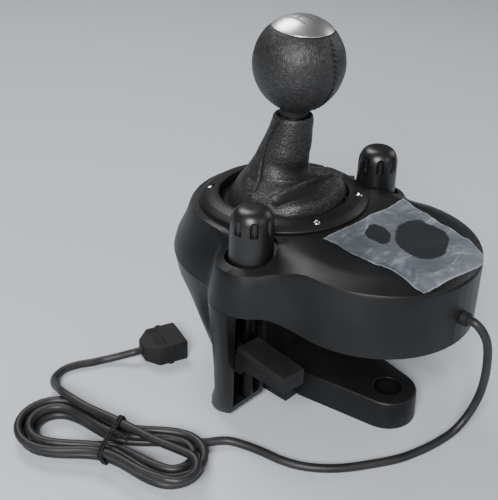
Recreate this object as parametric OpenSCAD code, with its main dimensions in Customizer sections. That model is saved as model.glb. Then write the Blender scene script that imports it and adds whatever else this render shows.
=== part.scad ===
/* [Deck] */
// Radius of the round housing about the lever, at the parting line
housing_r = 62; // [60:0.5:64]
// Radius of the housing where the deck's edge begins
deck_edge_r = 52.4; // [51.6:0.2:53]
// Height of the deck's flat top
deck_z = 107; // [105:0.5:110]
// Height of the line where the top cover meets the lower housing
parting_z = 74; // [72:0.5:76]
// Radius of the lobe around each clamp knob
lobe_r = 19; // [18:0.25:20]
// How much wider a lobe is at the parting line than at the deck
lobe_flare = 3; // [1:0.25:3.5]
// How far the deck falls at the outer edge of a lobe
lobe_fall = 9.5; // [7:0.5:11]
// Radius of the tongue
tongue_r = 55; // [53:0.5:57]
// Forward place of the tongue's centre
tongue_y = 65.4; // [63:0.2:68]
// Height of the tongue's lower edge
skirt_z = 67.4; // [65:0.2:69]
// Fall of the deck at the tongue's edge
tongue_fall = 3.6; // [2:0.2:5]
// Width of the sloping band round the deck
band_w = 10.5; // [8:0.5:12]
// Radius of the hollow between housing and lobe
valley_r = 8; // [6:0.5:10]
// Radius of the hollow between lobe and tongue
waist_r = 34; // [28:1:40]
// Thickness of the moulded walls
wall = 2.6; // [2:0.1:3]

/* [Lower housing] */
// Radius of the bowl on the floor
bowl_floor_r = 37; // [34:0.5:39]
// Forward place of the legs' front faces
leg_front_y = 28.7; // [28:0.1:29.5]
// Forward place of the wall that meets the table's edge
stop_wall_y = 20; // [19:0.1:21]
// Half width of the recess between the legs
recess_half = 43; // [41:0.2:44]
// Half width of the foot at its root
foot_root_half = 27; // [25:0.5:29]
// Forward place of the hole in the foot
foot_hole_y = 82.9; // [78:0.1:86]
// Diameter of the hole in the foot
foot_hole_d = 15.4; // [13:0.1:17]
// Radius of the foot's round end
foot_end_r = 16; // [15:0.1:18]
// Height of the foot
foot_h = 16.8; // [14:0.2:18]

/* [Bezel and boot] */
// Outer radius of the bezel ring
bezel_r = 47.2; // [46.6:0.1:47.4]
// Inner radius of the bezel ring
bezel_bore_r = 36.3; // [35:0.1:37.5]
// Radius of the circle of bezel screws
bezel_screw_r = 41.8; // [41:0.1:42.5]
// Number of bezel screws
bezel_screws_n = 6; // [4:1:8]
// Backward rake of the bezel, in degrees
bezel_rake = 2.8; // [0:0.2:4]
// Thickness of the boot's leather
boot_t = 1.4; // [1:0.1:1.6]

/* [Lever] */
// Forward lean of the lever in neutral, in degrees
lever_lean = 3; // [2:0.5:5]
// Height of the lever's pivot
pivot_z = 85; // [83:0.5:87]
// Distance from the pivot to the middle of the ball
ball_rise = 99.5; // [96:0.5:104]
// Radius of the ball
ball_r = 24.4; // [22.5:0.1:25]
// Radius of the sliding lever shaft
shaft_r = 5; // [4.5:0.1:5.4]
// Outer radius of the lever tube
tube_r = 7.5; // [7.2:0.1:7.8]
// Travel of the lever when it is pressed down
press_travel = 4; // [3:0.25:4.5]
// Radius of the gimbal's pins
pin_r = 3; // [2.6:0.1:3.2]
// Swing of the lever to each gear row, in degrees
shift_swing = 11; // [9:0.5:12]
// Swing of the lever to each gate column, in degrees
select_swing = 8; // [7.5:0.25:8.5]

/* [Clamps] */
// Sideways place of each clamp knob
knob_x = 53.8; // [53.4:0.1:54.2]
// Forward place of each clamp knob
knob_y = 24.8; // [24.6:0.1:25.2]
// Radius of a clamp knob
knob_r = 11.8; // [11.2:0.1:11.9]
// Height of a clamp knob's top
knob_top_z = 127.2; // [126:0.2:131]
// Radius of the hole that a knob stands in
knob_hole_r = 13.7; // [13:0.1:14]
// Radius of a clamp screw
screw_r = 4; // [3.5:0.1:4.4]
// Height of the jaws' gripping face
jaw_z = 50.2; // [48:0.2:52]
// Forward reach of the jaws
jaw_tip_y = 66.4; // [60:0.1:68]
// Outward turn of the jaws, in degrees
jaw_turn = 6; // [0:0.5:8]

/* [Cord] */
// Diameter of the cord
cord_d = 4.6; // [4.2:0.1:4.6]
// Half the length of the hank's straight runs
hank_run = 34; // [30:0.2:38]
// Radius of the hank's outer loop
hank_r = 20; // [19.5:0.25:21]

/* [Hidden] */
$fn = 64;

// Clearances and overlaps
run_fit = 0.06;
slip_fit = 0.1;
press_gap = 0.02;
seat_gap = 0.1;
free_gap = 0.6;
bite = 1;

// Colours
matt_black = [0.07, 0.07, 0.08];
gloss_black = [0.04, 0.04, 0.05];
hide_black = [0.05, 0.05, 0.05];
rubber_black = [0.09, 0.09, 0.09];
cord_grey = [0.2, 0.2, 0.21];
steel = [0.72, 0.73, 0.75];
brass = [0.75, 0.6, 0.3];
board_green = [0.08, 0.3, 0.16];
white_nylon = [0.85, 0.85, 0.82];

// Plan of the casing, built from tangent arcs
lobe_c = [knob_x, knob_y];
tongue_c = [0, tongue_y];
rear_n = 12;
valley_n = 5;
lobe_n = 9;
waist_n = 7;
tongue_n = 14;

function turn_up(a) = a < 0 ? a + 360 : a;
function bearing(p, q) = atan2(q[1] - p[1], q[0] - p[0]);
function ease(t) = t * t * (3 - 2 * t);
function meet(c1, r1, c2, r2) =
    let (d = norm(c2 - c1), u = (c2 - c1) / d, a = (r1 * r1 - r2 * r2 + d * d) / (2 * d))
    c1 + a * u + sqrt(r1 * r1 - a * a) * [u[1], -u[0]];
function arc(c, r, a0, a1, n, z0, z1) = [
    for (i = [0 : n - 1])
        let (t = i / n, a = a0 + (a1 - a0) * t)
        [c[0] + r * cos(a), c[1] + r * sin(a), z0 + (z1 - z0) * ease(t)]];
function mirrored(half) = [for (i = [len(half) - 1 : -1 : 1]) [-half[i][0], half[i][1], half[i][2]]];

// One level of the casing: radii and heights at the housing, the lobes and the tongue
function casing_ring(rear_r, rear_z, lc, lr, lz, tr, tz) =
    let (
        grow = tongue_r - tr,
        v = valley_r + housing_r - max(rear_r, housing_r - grow),
        p1 = meet([0, 0], rear_r + v, lc, lr + v),
        w = waist_r + grow,
        p2 = meet(lc, lr + w, tongue_c, tr + w),
        half = concat(
            arc([0, 0], rear_r, -90, bearing([0, 0], p1), rear_n, rear_z, rear_z),
            arc(p1, v, turn_up(bearing(p1, [0, 0])), turn_up(bearing(p1, lc)), valley_n, rear_z, lz),
            arc(lc, lr, bearing(lc, p1), bearing(lc, p2), lobe_n, lz, lz),
            arc(p2, w, turn_up(bearing(p2, lc)), turn_up(bearing(p2, tongue_c)), waist_n, lz, tz),
            arc(tongue_c, tr, bearing(tongue_c, p2), 90, tongue_n, tz, tz)))
    concat(half, [[0, tongue_y + tr, tz]], mirrored(half));

// Lower ring of the bowl and legs, cut off at the legs' front face
function bowl_ring(rear_r, lc, lr, front_y, z) =
    let (
        v = valley_r,
        p1 = meet([0, 0], rear_r + v, lc, lr + v),
        a_end = asin((front_y - lc[1]) / lr),
        half = concat(
            arc([0, 0], rear_r, -90, bearing([0, 0], p1), rear_n, z, z),
            arc(p1, v, turn_up(bearing(p1, [0, 0])), turn_up(bearing(p1, lc)), valley_n, z, z),
            arc(lc, lr, bearing(lc, p1), a_end, lobe_n, z, z)))
    concat(half, [[lc[0] + lr * cos(a_end), front_y, z]], [[0, front_y, z]],
        [[-lc[0] - lr * cos(a_end), front_y, z]], mirrored(half));

// Faces between stacked rings of equal length
function side_faces(m, k, n) = [
    for (j = [0 : n - 1])
        let (a = m * n + j, b = m * n + (j + 1) % n, c = k * n + j, d = k * n + (j + 1) % n)
        each [[a, c, d], [a, d, b]]];
function flat(lists) = [for (l = lists) each l];

// A solid through rings that go up, closed by its two end rings
module stack(rings) {
    n = len(rings[0]);
    m = len(rings);
    polyhedron(
        points = flat(rings),
        faces = concat(
            flat([for (i = [0 : m - 2]) side_faces(i, i + 1, n)]),
            [[for (j = [0 : n - 1]) j], [for (j = [n - 1 : -1 : 0]) (m - 1) * n + j]]));
}

// A wall whose section is a closed loop of rings
module loop_wall(rings) {
    n = len(rings[0]);
    m = len(rings);
    polyhedron(points = flat(rings), faces = flat([for (i = [0 : m - 1]) side_faces(i, (i + 1) % m, n)]));
}

module both_sides() {
    children();
    mirror([1, 0, 0]) children();
}

module ring_of(n, r, start = 0) {
    for (i = [0 : n - 1]) rotate([0, 0, start + i * 360 / n]) translate([r, 0, 0]) children();
}

// The lever's own frame, leaned about the pivot
module leaned() {
    translate([0, 0, pivot_z]) rotate([-lever_lean, 0, 0]) children();
}

// Heights and radii that several pieces share
edge_round = 1.6;
edge_inset = 0.7;
shoulder_r = bezel_r + 1.2;
inner_lobe = lobe_c * 0.76;
inner_lobe_r = 12;
lobe_edge_z = deck_z - lobe_fall;
tongue_edge_z = deck_z - tongue_fall;
rear_fall = 1.2;
rear_edge_z = deck_z - rear_fall;
rear_waist = 16.3;
part_gap = 0.3;
cover_low = parting_z + part_gap;
opening_r = bezel_bore_r + 1.5;

function cover_levels(t) = [
    casing_ring(housing_r - t, cover_low, lobe_c, lobe_r + lobe_flare - t, cover_low, tongue_r - t, skirt_z),
    casing_ring(housing_r - 1.8 - t, cover_low + 7, lobe_c, lobe_r + lobe_flare * 0.62 - t, cover_low + 9,
        tongue_r - 0.2 - t, skirt_z + 14),
    casing_ring(deck_edge_r + 3.8 - t, rear_edge_z - rear_waist, lobe_c, lobe_r + lobe_flare * 0.1 - t,
        lobe_edge_z - 5, tongue_r - 0.4 - t, tongue_edge_z - 9),
    casing_ring(deck_edge_r + 0.6 - t, rear_edge_z - edge_round - rake_fall(-deck_edge_r),
        lobe_c, lobe_r - 0.5 - t, lobe_edge_z - edge_round - rake_fall(knob_y) - t / 2,
        tongue_r - 0.5 - t, tongue_edge_z - edge_round - t / 2)];
function cover_top(t, drop) = [
    casing_ring(deck_edge_r - edge_inset - t, rear_edge_z - drop, lobe_c, lobe_r - 0.5 - edge_inset - t,
        lobe_edge_z - drop, tongue_r - 0.5 - edge_inset - t, tongue_edge_z - drop),
    casing_ring(shoulder_r - 0.6, deck_z - 1.2 - drop, lobe_c, lobe_r - band_w + 2, lobe_edge_z + 4 - drop,
        tongue_r - band_w, deck_z - 0.4 - drop),
    casing_ring(shoulder_r - 1.6, deck_z - drop, inner_lobe, inner_lobe_r, deck_z - drop,
        tongue_r - band_w - 3, deck_z - drop)];
function to_circle(ring, r, z) = [
    for (p = ring) let (d = norm([p[0], p[1]])) [p[0] * r / d, p[1] * r / d, z]];
function rake_fall(y) = tan(bezel_rake) * max(0, bezel_r - y);
function raked_ring(ring) = [for (p = ring) [p[0], p[1], p[2] - rake_fall(p[1])]];
function raked_rings(rings) = [for (r = rings) raked_ring(r)];
function reversed(l) = [for (i = [len(l) - 1 : -1 : 0]) l[i]];

seat_r = bezel_r - 1;
outer_top = cover_top(0, 0);
inner_top = cover_top(wall, wall);
deck_rings = raked_rings(concat(
    outer_top, [to_circle(outer_top[2], seat_r, deck_z)], [to_circle(outer_top[2], opening_r, deck_z)],
    [to_circle(inner_top[2], opening_r, deck_z - wall)], reversed(inner_top)));

// The bezel's plane, raked about its front edge
module raked() {
    translate([0, bezel_r, deck_z]) rotate([bezel_rake, 0, 0]) translate([0, -bezel_r, -deck_z]) children();
}

// Screw posts under the deck hold the tongue's base
post_r = 3.6;
post_at = [[tongue_r - 21, tongue_y - 20.4], [tongue_r - 21, tongue_y + 22.6]];
base_low = parting_z + 0.2;
base_t = 2.5;
base_r = tongue_r - wall - 0.9;
gland_z = 81.3;
gland_r = 3.7;
gland_lip = 0.8;

module top_cover() {
    color(matt_black) difference() {
        union() {
            loop_wall(concat(cover_levels(0), deck_rings, reversed(cover_levels(wall))));
            both_sides() for (p = post_at)
                translate([p[0], p[1], base_low + base_t])
                    cylinder(r = post_r, h = deck_z - wall / 2 - base_low - base_t);
        }
        both_sides() translate([knob_x, knob_y, parting_z]) cylinder(r = knob_hole_r, h = deck_z);
        both_sides() for (p = post_at)
            translate([p[0], p[1], base_low]) cylinder(r = base_screw_r + press_gap, h = 14);
        translate([0, tongue_y + tongue_r + bite, gland_z])
            rotate([90, 0, 0]) cylinder(r = gland_r + press_gap, h = wall * 3);
        raked() ring_of(bezel_screws_n, bezel_screw_r, bezel_start) translate([0, 0, deck_z - 2 * wall])
            cylinder(r = bezel_shank_r + press_gap, h = 4 * wall);
    }
}

// Bowl and legs
rim_flare = 2.6 / 12;
rim_spare = 2;
bowl_levels = [
    [bowl_floor_r, 0], [bowl_floor_r + 4, 10], [bowl_floor_r + 10.6, 29], [bowl_floor_r + 17, 48],
    [housing_r - rim_flare * (parting_z - 62), 62], [housing_r, parting_z]];
slot_in = recess_half + 3.5;
slot_out = knob_x + 14.2;
slot_back_y = 17.4;
slot_low = 9;
leg_low_c = [knob_x + 3.6, 16];
leg_low_r = 10.5;

function bowl_wall_r(z) = lookup(z, [for (l = bowl_levels) [l[1], l[0]]]);

// Posts that carry the gate plate, in the lever's frame
gate_drop = 56;
gate_t = 3;
gate_y = [-20, 18];
gate_half = 30;
gate_post_at = [[25, -15], [25, 12.5]];
gate_post_r = 4;
cradle_screw_r = 1.5;
cradle_screw_bite = 9;

module lower_housing() {
    color(matt_black) difference() {
        union() {
            difference() {
                stack([
                    bowl_ring(bowl_levels[0][0], leg_low_c, leg_low_r, leg_front_y - 6.5, 0),
                    bowl_ring(bowl_wall_r(5), [knob_x + 1.2, 21], 15.5, leg_front_y - 1.4, 5),
                    bowl_ring(bowl_wall_r(12), lobe_c, lobe_r - 1.4, leg_front_y, 12),
                    bowl_ring(bowl_levels[2][0], lobe_c, lobe_r - 0.8, leg_front_y, 29),
                    bowl_ring(bowl_levels[3][0], lobe_c, lobe_r + lobe_flare * 0.25, leg_front_y, 48),
                    bowl_ring(bowl_levels[4][0], lobe_c, lobe_r + lobe_flare * 0.65, leg_front_y, 62),
                    bowl_ring(bowl_wall_r(parting_z) + rim_spare * rim_flare, lobe_c,
                        lobe_r + lobe_flare + rim_spare * lobe_flare * 0.03, leg_front_y,
                        parting_z + rim_spare)]);
                translate([-2 * housing_r, -2 * housing_r, parting_z])
                    cube([4 * housing_r, 4 * housing_r, 4 * wall]);
                bowl_hollow();
                translate([-recess_half, stop_wall_y, -bite])
                    cube([2 * recess_half, leg_front_y, parting_z + 2 * bite]);
                both_sides() translate([slot_in, slot_back_y, slot_low])
                    cube([slot_out - slot_in, leg_front_y, parting_z]);
            }
            intersection() {
                leaned() both_sides() for (p = gate_post_at)
                    translate([p[0], p[1], -pivot_z])
                        cylinder(r = gate_post_r, h = pivot_z - gate_drop - gate_t);
                translate([-bowl_floor_r, -bowl_floor_r, wall / 2])
                    cube([2 * bowl_floor_r, bowl_floor_r + stop_wall_y - wall / 2, parting_z]);
            }
        }
        leaned() both_sides() for (p = gate_post_at)
            translate([p[0], p[1], -gate_drop - gate_t - cradle_screw_bite - 3])
                cylinder(r = cradle_screw_r + press_gap, h = 20);
    }
}

module bowl_hollow() {
    intersection() {
        rotate_extrude($fn = 96) polygon(concat(
            [[0, wall], [bowl_wall_r(wall) - wall, wall]],
            [for (i = [1 : len(bowl_levels) - 2]) [bowl_levels[i][0] - wall, bowl_levels[i][1]]],
            [[housing_r - wall, parting_z + bite], [0, parting_z + bite]]));
        translate([-housing_r, -housing_r, 0])
            cube([2 * housing_r, housing_r + stop_wall_y - wall, parting_z + 2 * bite]);
    }
}

// Central foot that stands on the floor in front of the table stop
foot_root_y = stop_wall_y;
foot_step_y = 41;
foot_draft = 1.2;
foot_wall = 3.4;
module foot_plan(grow) {
    hull() {
        translate([0, foot_hole_y]) circle(r = foot_end_r + grow, $fn = 48);
        translate([-foot_root_half + 3 - grow, foot_root_y])
            square([2 * (foot_root_half - 3 + grow), foot_step_y - foot_root_y]);
    }
}
module centre_foot() {
    color(matt_black) difference() {
        union() {
            hull() {
                linear_extrude(height = 1) foot_plan(foot_draft);
                translate([0, 0, foot_h - 1.6]) linear_extrude(height = 1) foot_plan(0.3);
                translate([0, 0, foot_h - 1]) linear_extrude(height = 1) foot_plan(-0.6);
            }
            translate([-foot_root_half - 8, foot_root_y, 0])
                cube([2 * (foot_root_half + 8), foot_step_y - foot_root_y - 2, foot_h - 6]);
        }
        translate([0, foot_hole_y, -bite]) cylinder(r = foot_hole_d / 2, h = foot_h + 2 * bite);
        translate([-foot_root_half, foot_root_y - foot_h, -bite])
            cube([2 * foot_root_half, foot_h, foot_h + 2 * bite]);
        translate([-foot_end_r + foot_wall, foot_step_y - 14, -bite])
            cube([2 * (foot_end_r - foot_wall), 36, foot_h - 4 + bite]);
    }
}

// Base under the tongue, with bosses that carry the table pads
pad_r = 8;
pad_t = 2;
pad_low = skirt_z - 0.2;
pad_at = [[tongue_r - 25, tongue_y - 3.4], [2 * pad_r, tongue_y + tongue_r - 16.4]];
base_screw_r = 1.5;
base_head_r = 2.9;
base_head_t = 1.8;
board_z = 82;
board_size = [58, 44, 1.6];
board_hole_r = 1.3;
board_y = 68;
board_post_at = [[24, -17], [24, 17]];

module base_plan() {
    intersection() {
        translate([0, tongue_y]) circle(r = base_r, $fn = 96);
        translate([-base_r, leg_front_y + part_gap]) square([2 * base_r, 2 * base_r]);
    }
}
module tongue_base() {
    color(matt_black) difference() {
        union() {
            translate([0, 0, base_low]) linear_extrude(height = base_t) base_plan();
            both_sides() for (p = pad_at)
                translate([p[0], p[1], pad_low + pad_t])
                    cylinder(r = pad_r + 1, h = base_low - pad_low - pad_t + bite);
            both_sides() for (p = board_post_at)
                translate([p[0], board_y + p[1], base_low + bite])
                    cylinder(r = 2 * board_hole_r, h = board_z - base_low - bite);
            for (x = [-12, 12])
                translate([x - 1, leg_front_y + 4, pad_low + 1]) cube([2, 60, base_low - pad_low]);
        }
        both_sides() for (p = post_at) translate([p[0], p[1], base_low - bite])
            cylinder(r = base_screw_r + press_gap, h = base_t + 2 * bite);
    }
}
module table_pads() {
    color(rubber_black) both_sides() for (p = pad_at) translate([p[0], p[1], pad_low])
        cylinder(r = pad_r, h = pad_t);
}
module base_screws() {
    color(steel) both_sides() for (p = post_at) translate([p[0], p[1], base_low - base_head_t]) {
        cylinder(r = base_head_r, h = base_head_t);
        cylinder(r = base_screw_r, h = base_head_t + base_t + 9);
    }
}
module circuit_board() {
    color(board_green) translate([0, board_y, board_z]) difference() {
        translate([-board_size[0] / 2, -board_size[1] / 2, 0]) cube(board_size);
        both_sides() for (p = board_post_at) translate([p[0], p[1], -bite])
            cylinder(r = board_hole_r, h = board_size[2] + 2 * bite);
    }
}
module board_chips() {
    color(gloss_black) translate([0, board_y, board_z + board_size[2]]) {
        translate([-6, -4, 0]) cube([10, 10, 1.4]);
        translate([10, -14, 0]) cube([6, 12, 5]);
        translate([-20, 8, 0]) cube([12, 5.5, 6]);
        translate([-22, -10, 0]) cylinder(r = 3, h = 7);
    }
}

// Bezel ring, its screws and the bare badge
bezel_rim_t = 1.6;
bezel_in_t = 5.1;
hem_r = bezel_bore_r + 2.6;
hem_t = 1.2;
bezel_shank_r = 1.4;
bezel_head_r = 2.4;
bezel_head_t = 2;
bezel_seat_z = deck_z + 2.2;
bezel_start = 5;
badge_r = 27;
badge_t = 0.5;
badge_y = tongue_y + tongue_r - 38.4;

module bezel_ring() {
    color(matt_black) raked() difference() {
        translate([0, 0, deck_z + seat_gap]) rotate_extrude($fn = 128) polygon([
            [hem_r + 0.2, 0], [bezel_r - 1.4, 0], [bezel_r - 1.4, 0.4], [bezel_r, 0.4],
            [bezel_r, bezel_rim_t - 0.5], [bezel_r - 0.4, bezel_rim_t],
            [bezel_screw_r + 3.6, bezel_in_t - 2.5], [bezel_screw_r + 2, bezel_in_t - 1.5],
            [bezel_screw_r, bezel_in_t - 0.7], [bezel_screw_r - 2, bezel_in_t - 0.2],
            [bezel_bore_r + 1.6, bezel_in_t], [bezel_bore_r + 0.6, bezel_in_t - 0.1],
            [bezel_bore_r, bezel_in_t - 0.6], [bezel_bore_r, hem_t + 0.2], [hem_r + 0.2, hem_t + 0.2]]);
        ring_of(bezel_screws_n, bezel_screw_r, bezel_start) {
            translate([0, 0, bezel_seat_z]) cylinder(r = bezel_head_r + 0.3, h = bezel_in_t);
            translate([0, 0, deck_z - bite])
                cylinder(r = bezel_shank_r + press_gap, h = bezel_in_t + 2 * bite);
        }
    }
}
module bezel_screws() {
    color(steel) raked() ring_of(bezel_screws_n, bezel_screw_r, bezel_start) translate([0, 0, bezel_seat_z]) {
        rotate_extrude($fn = 32) polygon([
            [0, 0], [bezel_head_r, 0], [bezel_head_r, bezel_head_t - 0.6], [bezel_head_r - 0.6, bezel_head_t],
            [0, bezel_head_t]]);
        translate([0, 0, -8]) cylinder(r = bezel_shank_r, h = 8.2);
    }
}
module badge_disc() {
    color(gloss_black) translate([0, badge_y, deck_z]) rotate_extrude($fn = 96) polygon([
        [0, 0], [badge_r, 0], [badge_r, badge_t - 0.2], [badge_r - 0.4, badge_t], [0, badge_t]]);
}

// Leather boot: rings from hem to rim, slack gathered in a fold on the side it leans to
fold_way = [-0.68, 0.73];
boot_n = 36;
hem_lift = 0.06;
fold_angle = 133;
fold_spread = 45;
dip_angle = 195;
dip_spread = 42;
dip_deep = 6;
// Height over the deck, radius, shift along the fold's way, and the fold's bulge
boot_levels = [
    [hem_lift, hem_r, 0, 0], [hem_t, hem_r, 0, 0], [hem_t + 0.2, bezel_bore_r - 0.5, 0, 0],
    [2.4, 33.6, 0.6, 0],
    [5, 33, 0.8, 0.5], [9, 30.2, 0.8, 1.6], [12, 24.5, -2.4, 7.5], [15.5, 18.5, -4.8, 10.5],
    [17.6, 16.6, -5.4, 8.5], [18.6, 16.3, -5.2, 2.2], [24, 15, -3.6, 0.3], [32, 13.6, -1.8, 0],
    [46, 11.3, 0, 0], [48.5, 10.9, 0, 0]];
// Share of the hollow behind the fold at a height over the deck
function boot_dip(high) = ease(max(0, min(1, (high - 4) / 6))) * (1 - ease(max(0, min(1, (high - 15) / 9))));
function boot_ring(level, t) =
    let (z = deck_z + level[0], mid = (z - pivot_z) * tan(lever_lean) * min(1, level[0] / 12))
    [for (i = [0 : boot_n - 1])
        let (
            a = i * 360 / boot_n,
            dip = dip_deep * boot_dip(level[0]) * exp(-pow((a - dip_angle) / dip_spread, 2)),
            r = level[1] + level[3] * exp(-pow((a - fold_angle) / fold_spread, 2)))
        [level[2] * fold_way[0] + (r - t) * cos(a), mid + level[2] * fold_way[1] + (r - t) * sin(a),
            z - dip - rake_fall(r * sin(a)) * (1 - ease(min(1, level[0] / 32)))]];
module boot() {
    last = len(boot_levels) - 1;
    color(hide_black) loop_wall(concat(
        [for (l = boot_levels) boot_ring(l, 0)],
        [for (i = [last : -1 : 3]) boot_ring(boot_levels[i], boot_t)],
        [boot_ring([hem_lift, bezel_bore_r - 0.4 - boot_t, 0, 0], 0)]));
}

// Gate plate with the gear slots, in the lever's frame
select_pin_r = 2.5;
slot_half = select_pin_r + 0.7;
column_x = gate_drop * tan(select_swing);
row_y = (gate_drop + gate_t) * tan(shift_swing) / cos(select_swing) + 0.5;

module gate_plate() {
    color(steel) leaned() translate([0, 0, -gate_drop - gate_t]) difference() {
        translate([-gate_half, gate_y[0], 0]) cube([2 * gate_half, gate_y[1] - gate_y[0], gate_t]);
        for (x = [-column_x, 0, column_x]) translate([x, 0, -bite]) {
            translate([-slot_half, -row_y, 0]) cube([2 * slot_half, 2 * row_y, gate_t + 2 * bite]);
            for (y = [-row_y, row_y]) translate([0, y, 0]) cylinder(r = slot_half, h = gate_t + 2 * bite);
        }
        translate([-column_x, -slot_half, -bite]) cube([2 * column_x, 2 * slot_half, gate_t + 2 * bite]);
        both_sides() for (p = gate_post_at) translate([p[0], p[1], -bite])
            cylinder(r = cradle_screw_r + press_gap, h = gate_t + 2 * bite);
    }
}

// Fixed cradle on legs that stand on the gate plate
yoke_half_x = 18.5;
yoke_half_y = 17;
yoke_half_z = 7;
yoke_window = 10;
ear_gap = 0.5;
ear_t = 5;
cradle_low = 25;
cradle_t = 4;
ear_in = yoke_half_x + ear_gap;
pin_end = ear_in + ear_t + 1;

module gimbal_cradle() {
    color(white_nylon) leaned() difference() {
        union() {
            translate([-gate_half, gate_y[0], -cradle_low])
                cube([2 * gate_half, gate_y[1] - gate_y[0] - 1, cradle_t]);
            both_sides() {
                translate([ear_in, -9, -cradle_low]) cube([ear_t, 18, cradle_low]);
                translate([ear_in, 0, 0]) rotate([0, 90, 0]) cylinder(r = 9, h = ear_t);
                for (p = gate_post_at) translate([p[0], p[1], -gate_drop])
                    cylinder(r = gate_post_r, h = gate_drop - cradle_low + bite);
            }
        }
        translate([-pin_end, 0, 0]) rotate([0, 90, 0]) cylinder(r = pin_r + run_fit, h = 2 * pin_end);
        translate([-10, -11, -cradle_low - bite]) cube([20, 22, cradle_t + 2 * bite]);
        both_sides() for (p = gate_post_at) translate([p[0], p[1], -gate_drop - bite])
            cylinder(r = cradle_screw_r + press_gap, h = gate_drop);
    }
}
module cradle_screws() {
    reach = gate_drop + gate_t + cradle_screw_bite - cradle_low + cradle_t;
    color(steel) leaned() both_sides() for (p = gate_post_at)
        translate([p[0], p[1], -cradle_low + cradle_t]) {
            cylinder(r = 2 * cradle_screw_r, h = 2);
            translate([0, 0, -reach]) cylinder(r = cradle_screw_r, h = reach + bite);
        }
}
module shift_sensor() {
    color(board_green) leaned() translate([-ear_in - ear_t, 0, 0]) rotate([0, -90, 0]) difference() {
        union() {
            cylinder(r = 8.5, h = 7);
            translate([-12, -5, 0]) cube([8, 10, 3]);
        }
        translate([0, 0, -bite]) cylinder(r = pin_r + 0.4, h = 3);
    }
}

// Moving yoke between cradle and lever
module gimbal_yoke() {
    color(white_nylon) leaned() difference() {
        translate([-yoke_half_x, -yoke_half_y, -yoke_half_z])
            cube([2 * yoke_half_x, 2 * yoke_half_y, 2 * yoke_half_z]);
        translate([-yoke_window, -yoke_window, -yoke_half_z - bite])
            cube([2 * yoke_window, 2 * yoke_window, 2 * yoke_half_z + 2 * bite]);
        translate([-yoke_half_x - bite, 0, 0]) rotate([0, 90, 0])
            cylinder(r = pin_r + press_gap, h = 2 * yoke_half_x + 2 * bite);
        translate([0, yoke_half_y + bite, 0]) rotate([90, 0, 0])
            cylinder(r = pin_r + run_fit, h = 2 * yoke_half_y + 2 * bite);
    }
}
module gimbal_pins() {
    color(steel) leaned() both_sides() translate([yoke_window + 1.5, 0, 0]) rotate([0, 90, 0])
        cylinder(r = pin_r, h = pin_end - yoke_window - 1.5);
}
module select_sensor() {
    color(board_green) leaned() translate([0, -yoke_half_y, 0]) rotate([90, 0, 0]) union() {
        cylinder(r = 7, h = 6);
        translate([-4, -6.5, 0]) cube([8, 4, 3]);
    }
}

// Lever tube with its pivot block and the selector pin
block_half = 8;
block_half_z = 7;
bore_floor = 9;
tube_top = 66;
pin_seat = 28;
shaft_low = 21;
retain_r = 1.4;
retain_half = tube_r - 0.4;
spring_reach = 5.5;

module lever_tube() {
    color(steel) leaned() difference() {
        union() {
            translate([-block_half, -block_half - 1, -block_half_z])
                cube([2 * block_half, 2 * (block_half + 1), 2 * block_half_z]);
            cylinder(r = tube_r, h = tube_top);
            translate([0, 0, -gate_drop + 12]) cylinder(r = 4, h = gate_drop - 12);
            translate([0, 0, -gate_drop - gate_t - 1]) cylinder(r = select_pin_r, h = 20);
        }
        translate([0, 0, bore_floor]) cylinder(r = shaft_r + slip_fit, h = tube_top);
        translate([0, block_half + 2, 0]) rotate([90, 0, 0])
            cylinder(r = pin_r + press_gap, h = 2 * block_half + 4);
        translate([-tube_r - bite, -retain_r - slip_fit, pin_seat - retain_r - press_travel - 0.3])
            cube([2 * (tube_r + bite), 2 * (retain_r + slip_fit), press_travel + 2 * retain_r + 0.4]);
    }
}
module lever_pin() {
    color(steel) leaned() translate([0, yoke_half_y + spring_reach, 0]) rotate([90, 0, 0])
        cylinder(r = pin_r, h = 2 * yoke_half_y + spring_reach - 0.6);
}
module boot_collar() {
    color(gloss_black) leaned() translate([0, 0, tube_top - 4]) difference() {
        cylinder(r = 9.4, h = 5);
        translate([0, 0, -bite]) cylinder(r = tube_r + press_gap, h = 4 + bite);
        translate([0, 0, -bite]) cylinder(r = shaft_r + 0.4, h = 5 + 2 * bite);
    }
}

// Coil springs: one unbroken wire swept along a helix
wire_sides = 6;
turn_rings = 8;
function tangent(path, i) =
    let (a = path[max(0, i - 1)], b = path[min(len(path) - 1, i + 1)]) (b - a) / norm(b - a);
function side_of(t) = let (s = cross(t, [0.03, 0.07, 1])) s / norm(s);
function sweep_ring(path, i, r, n) =
    let (t = tangent(path, i), s = side_of(t), u = cross(s, t))
    [for (k = [0 : n - 1]) let (a = -k * 360 / n) path[i] + r * (cos(a) * s + sin(a) * u)];
module tube_along(path, r, n) {
    stack([for (i = [0 : len(path) - 1]) sweep_ring(path, i, r, n)]);
}
function helix(r, low, high, turns) = [
    for (i = [0 : turns * turn_rings])
        let (t = i / (turns * turn_rings), a = 360 * turns * t)
        [r * cos(a), r * sin(a), low + (high - low) * t]];

press_turns = 6;
press_wire_r = 0.6;
press_coil_r = shaft_r - 1.4;
centre_turns = 3;
centre_wire_r = 0.5;
module press_spring() {
    color(steel) leaned() tube_along(
        helix(press_coil_r, bore_floor + press_wire_r + 0.3, shaft_low - press_wire_r - 0.3, press_turns),
        press_wire_r, wire_sides);
}
module centring_spring() {
    color(steel) leaned() translate([0, yoke_half_y + 0.9, 0]) rotate([-90, 0, 0])
        tube_along(helix(pin_r + centre_wire_r + 0.4, 0, spring_reach - 1.5, centre_turns),
            centre_wire_r, wire_sides);
}

// Sliding shaft with the ball
neck_r = 7.8;
neck_low = 71.4;
core_gap = 0.1;
hide_t = 1.4;
cap_half_angle = 41;
cap_t = 1.8;
low_stretch = 1.06;

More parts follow.
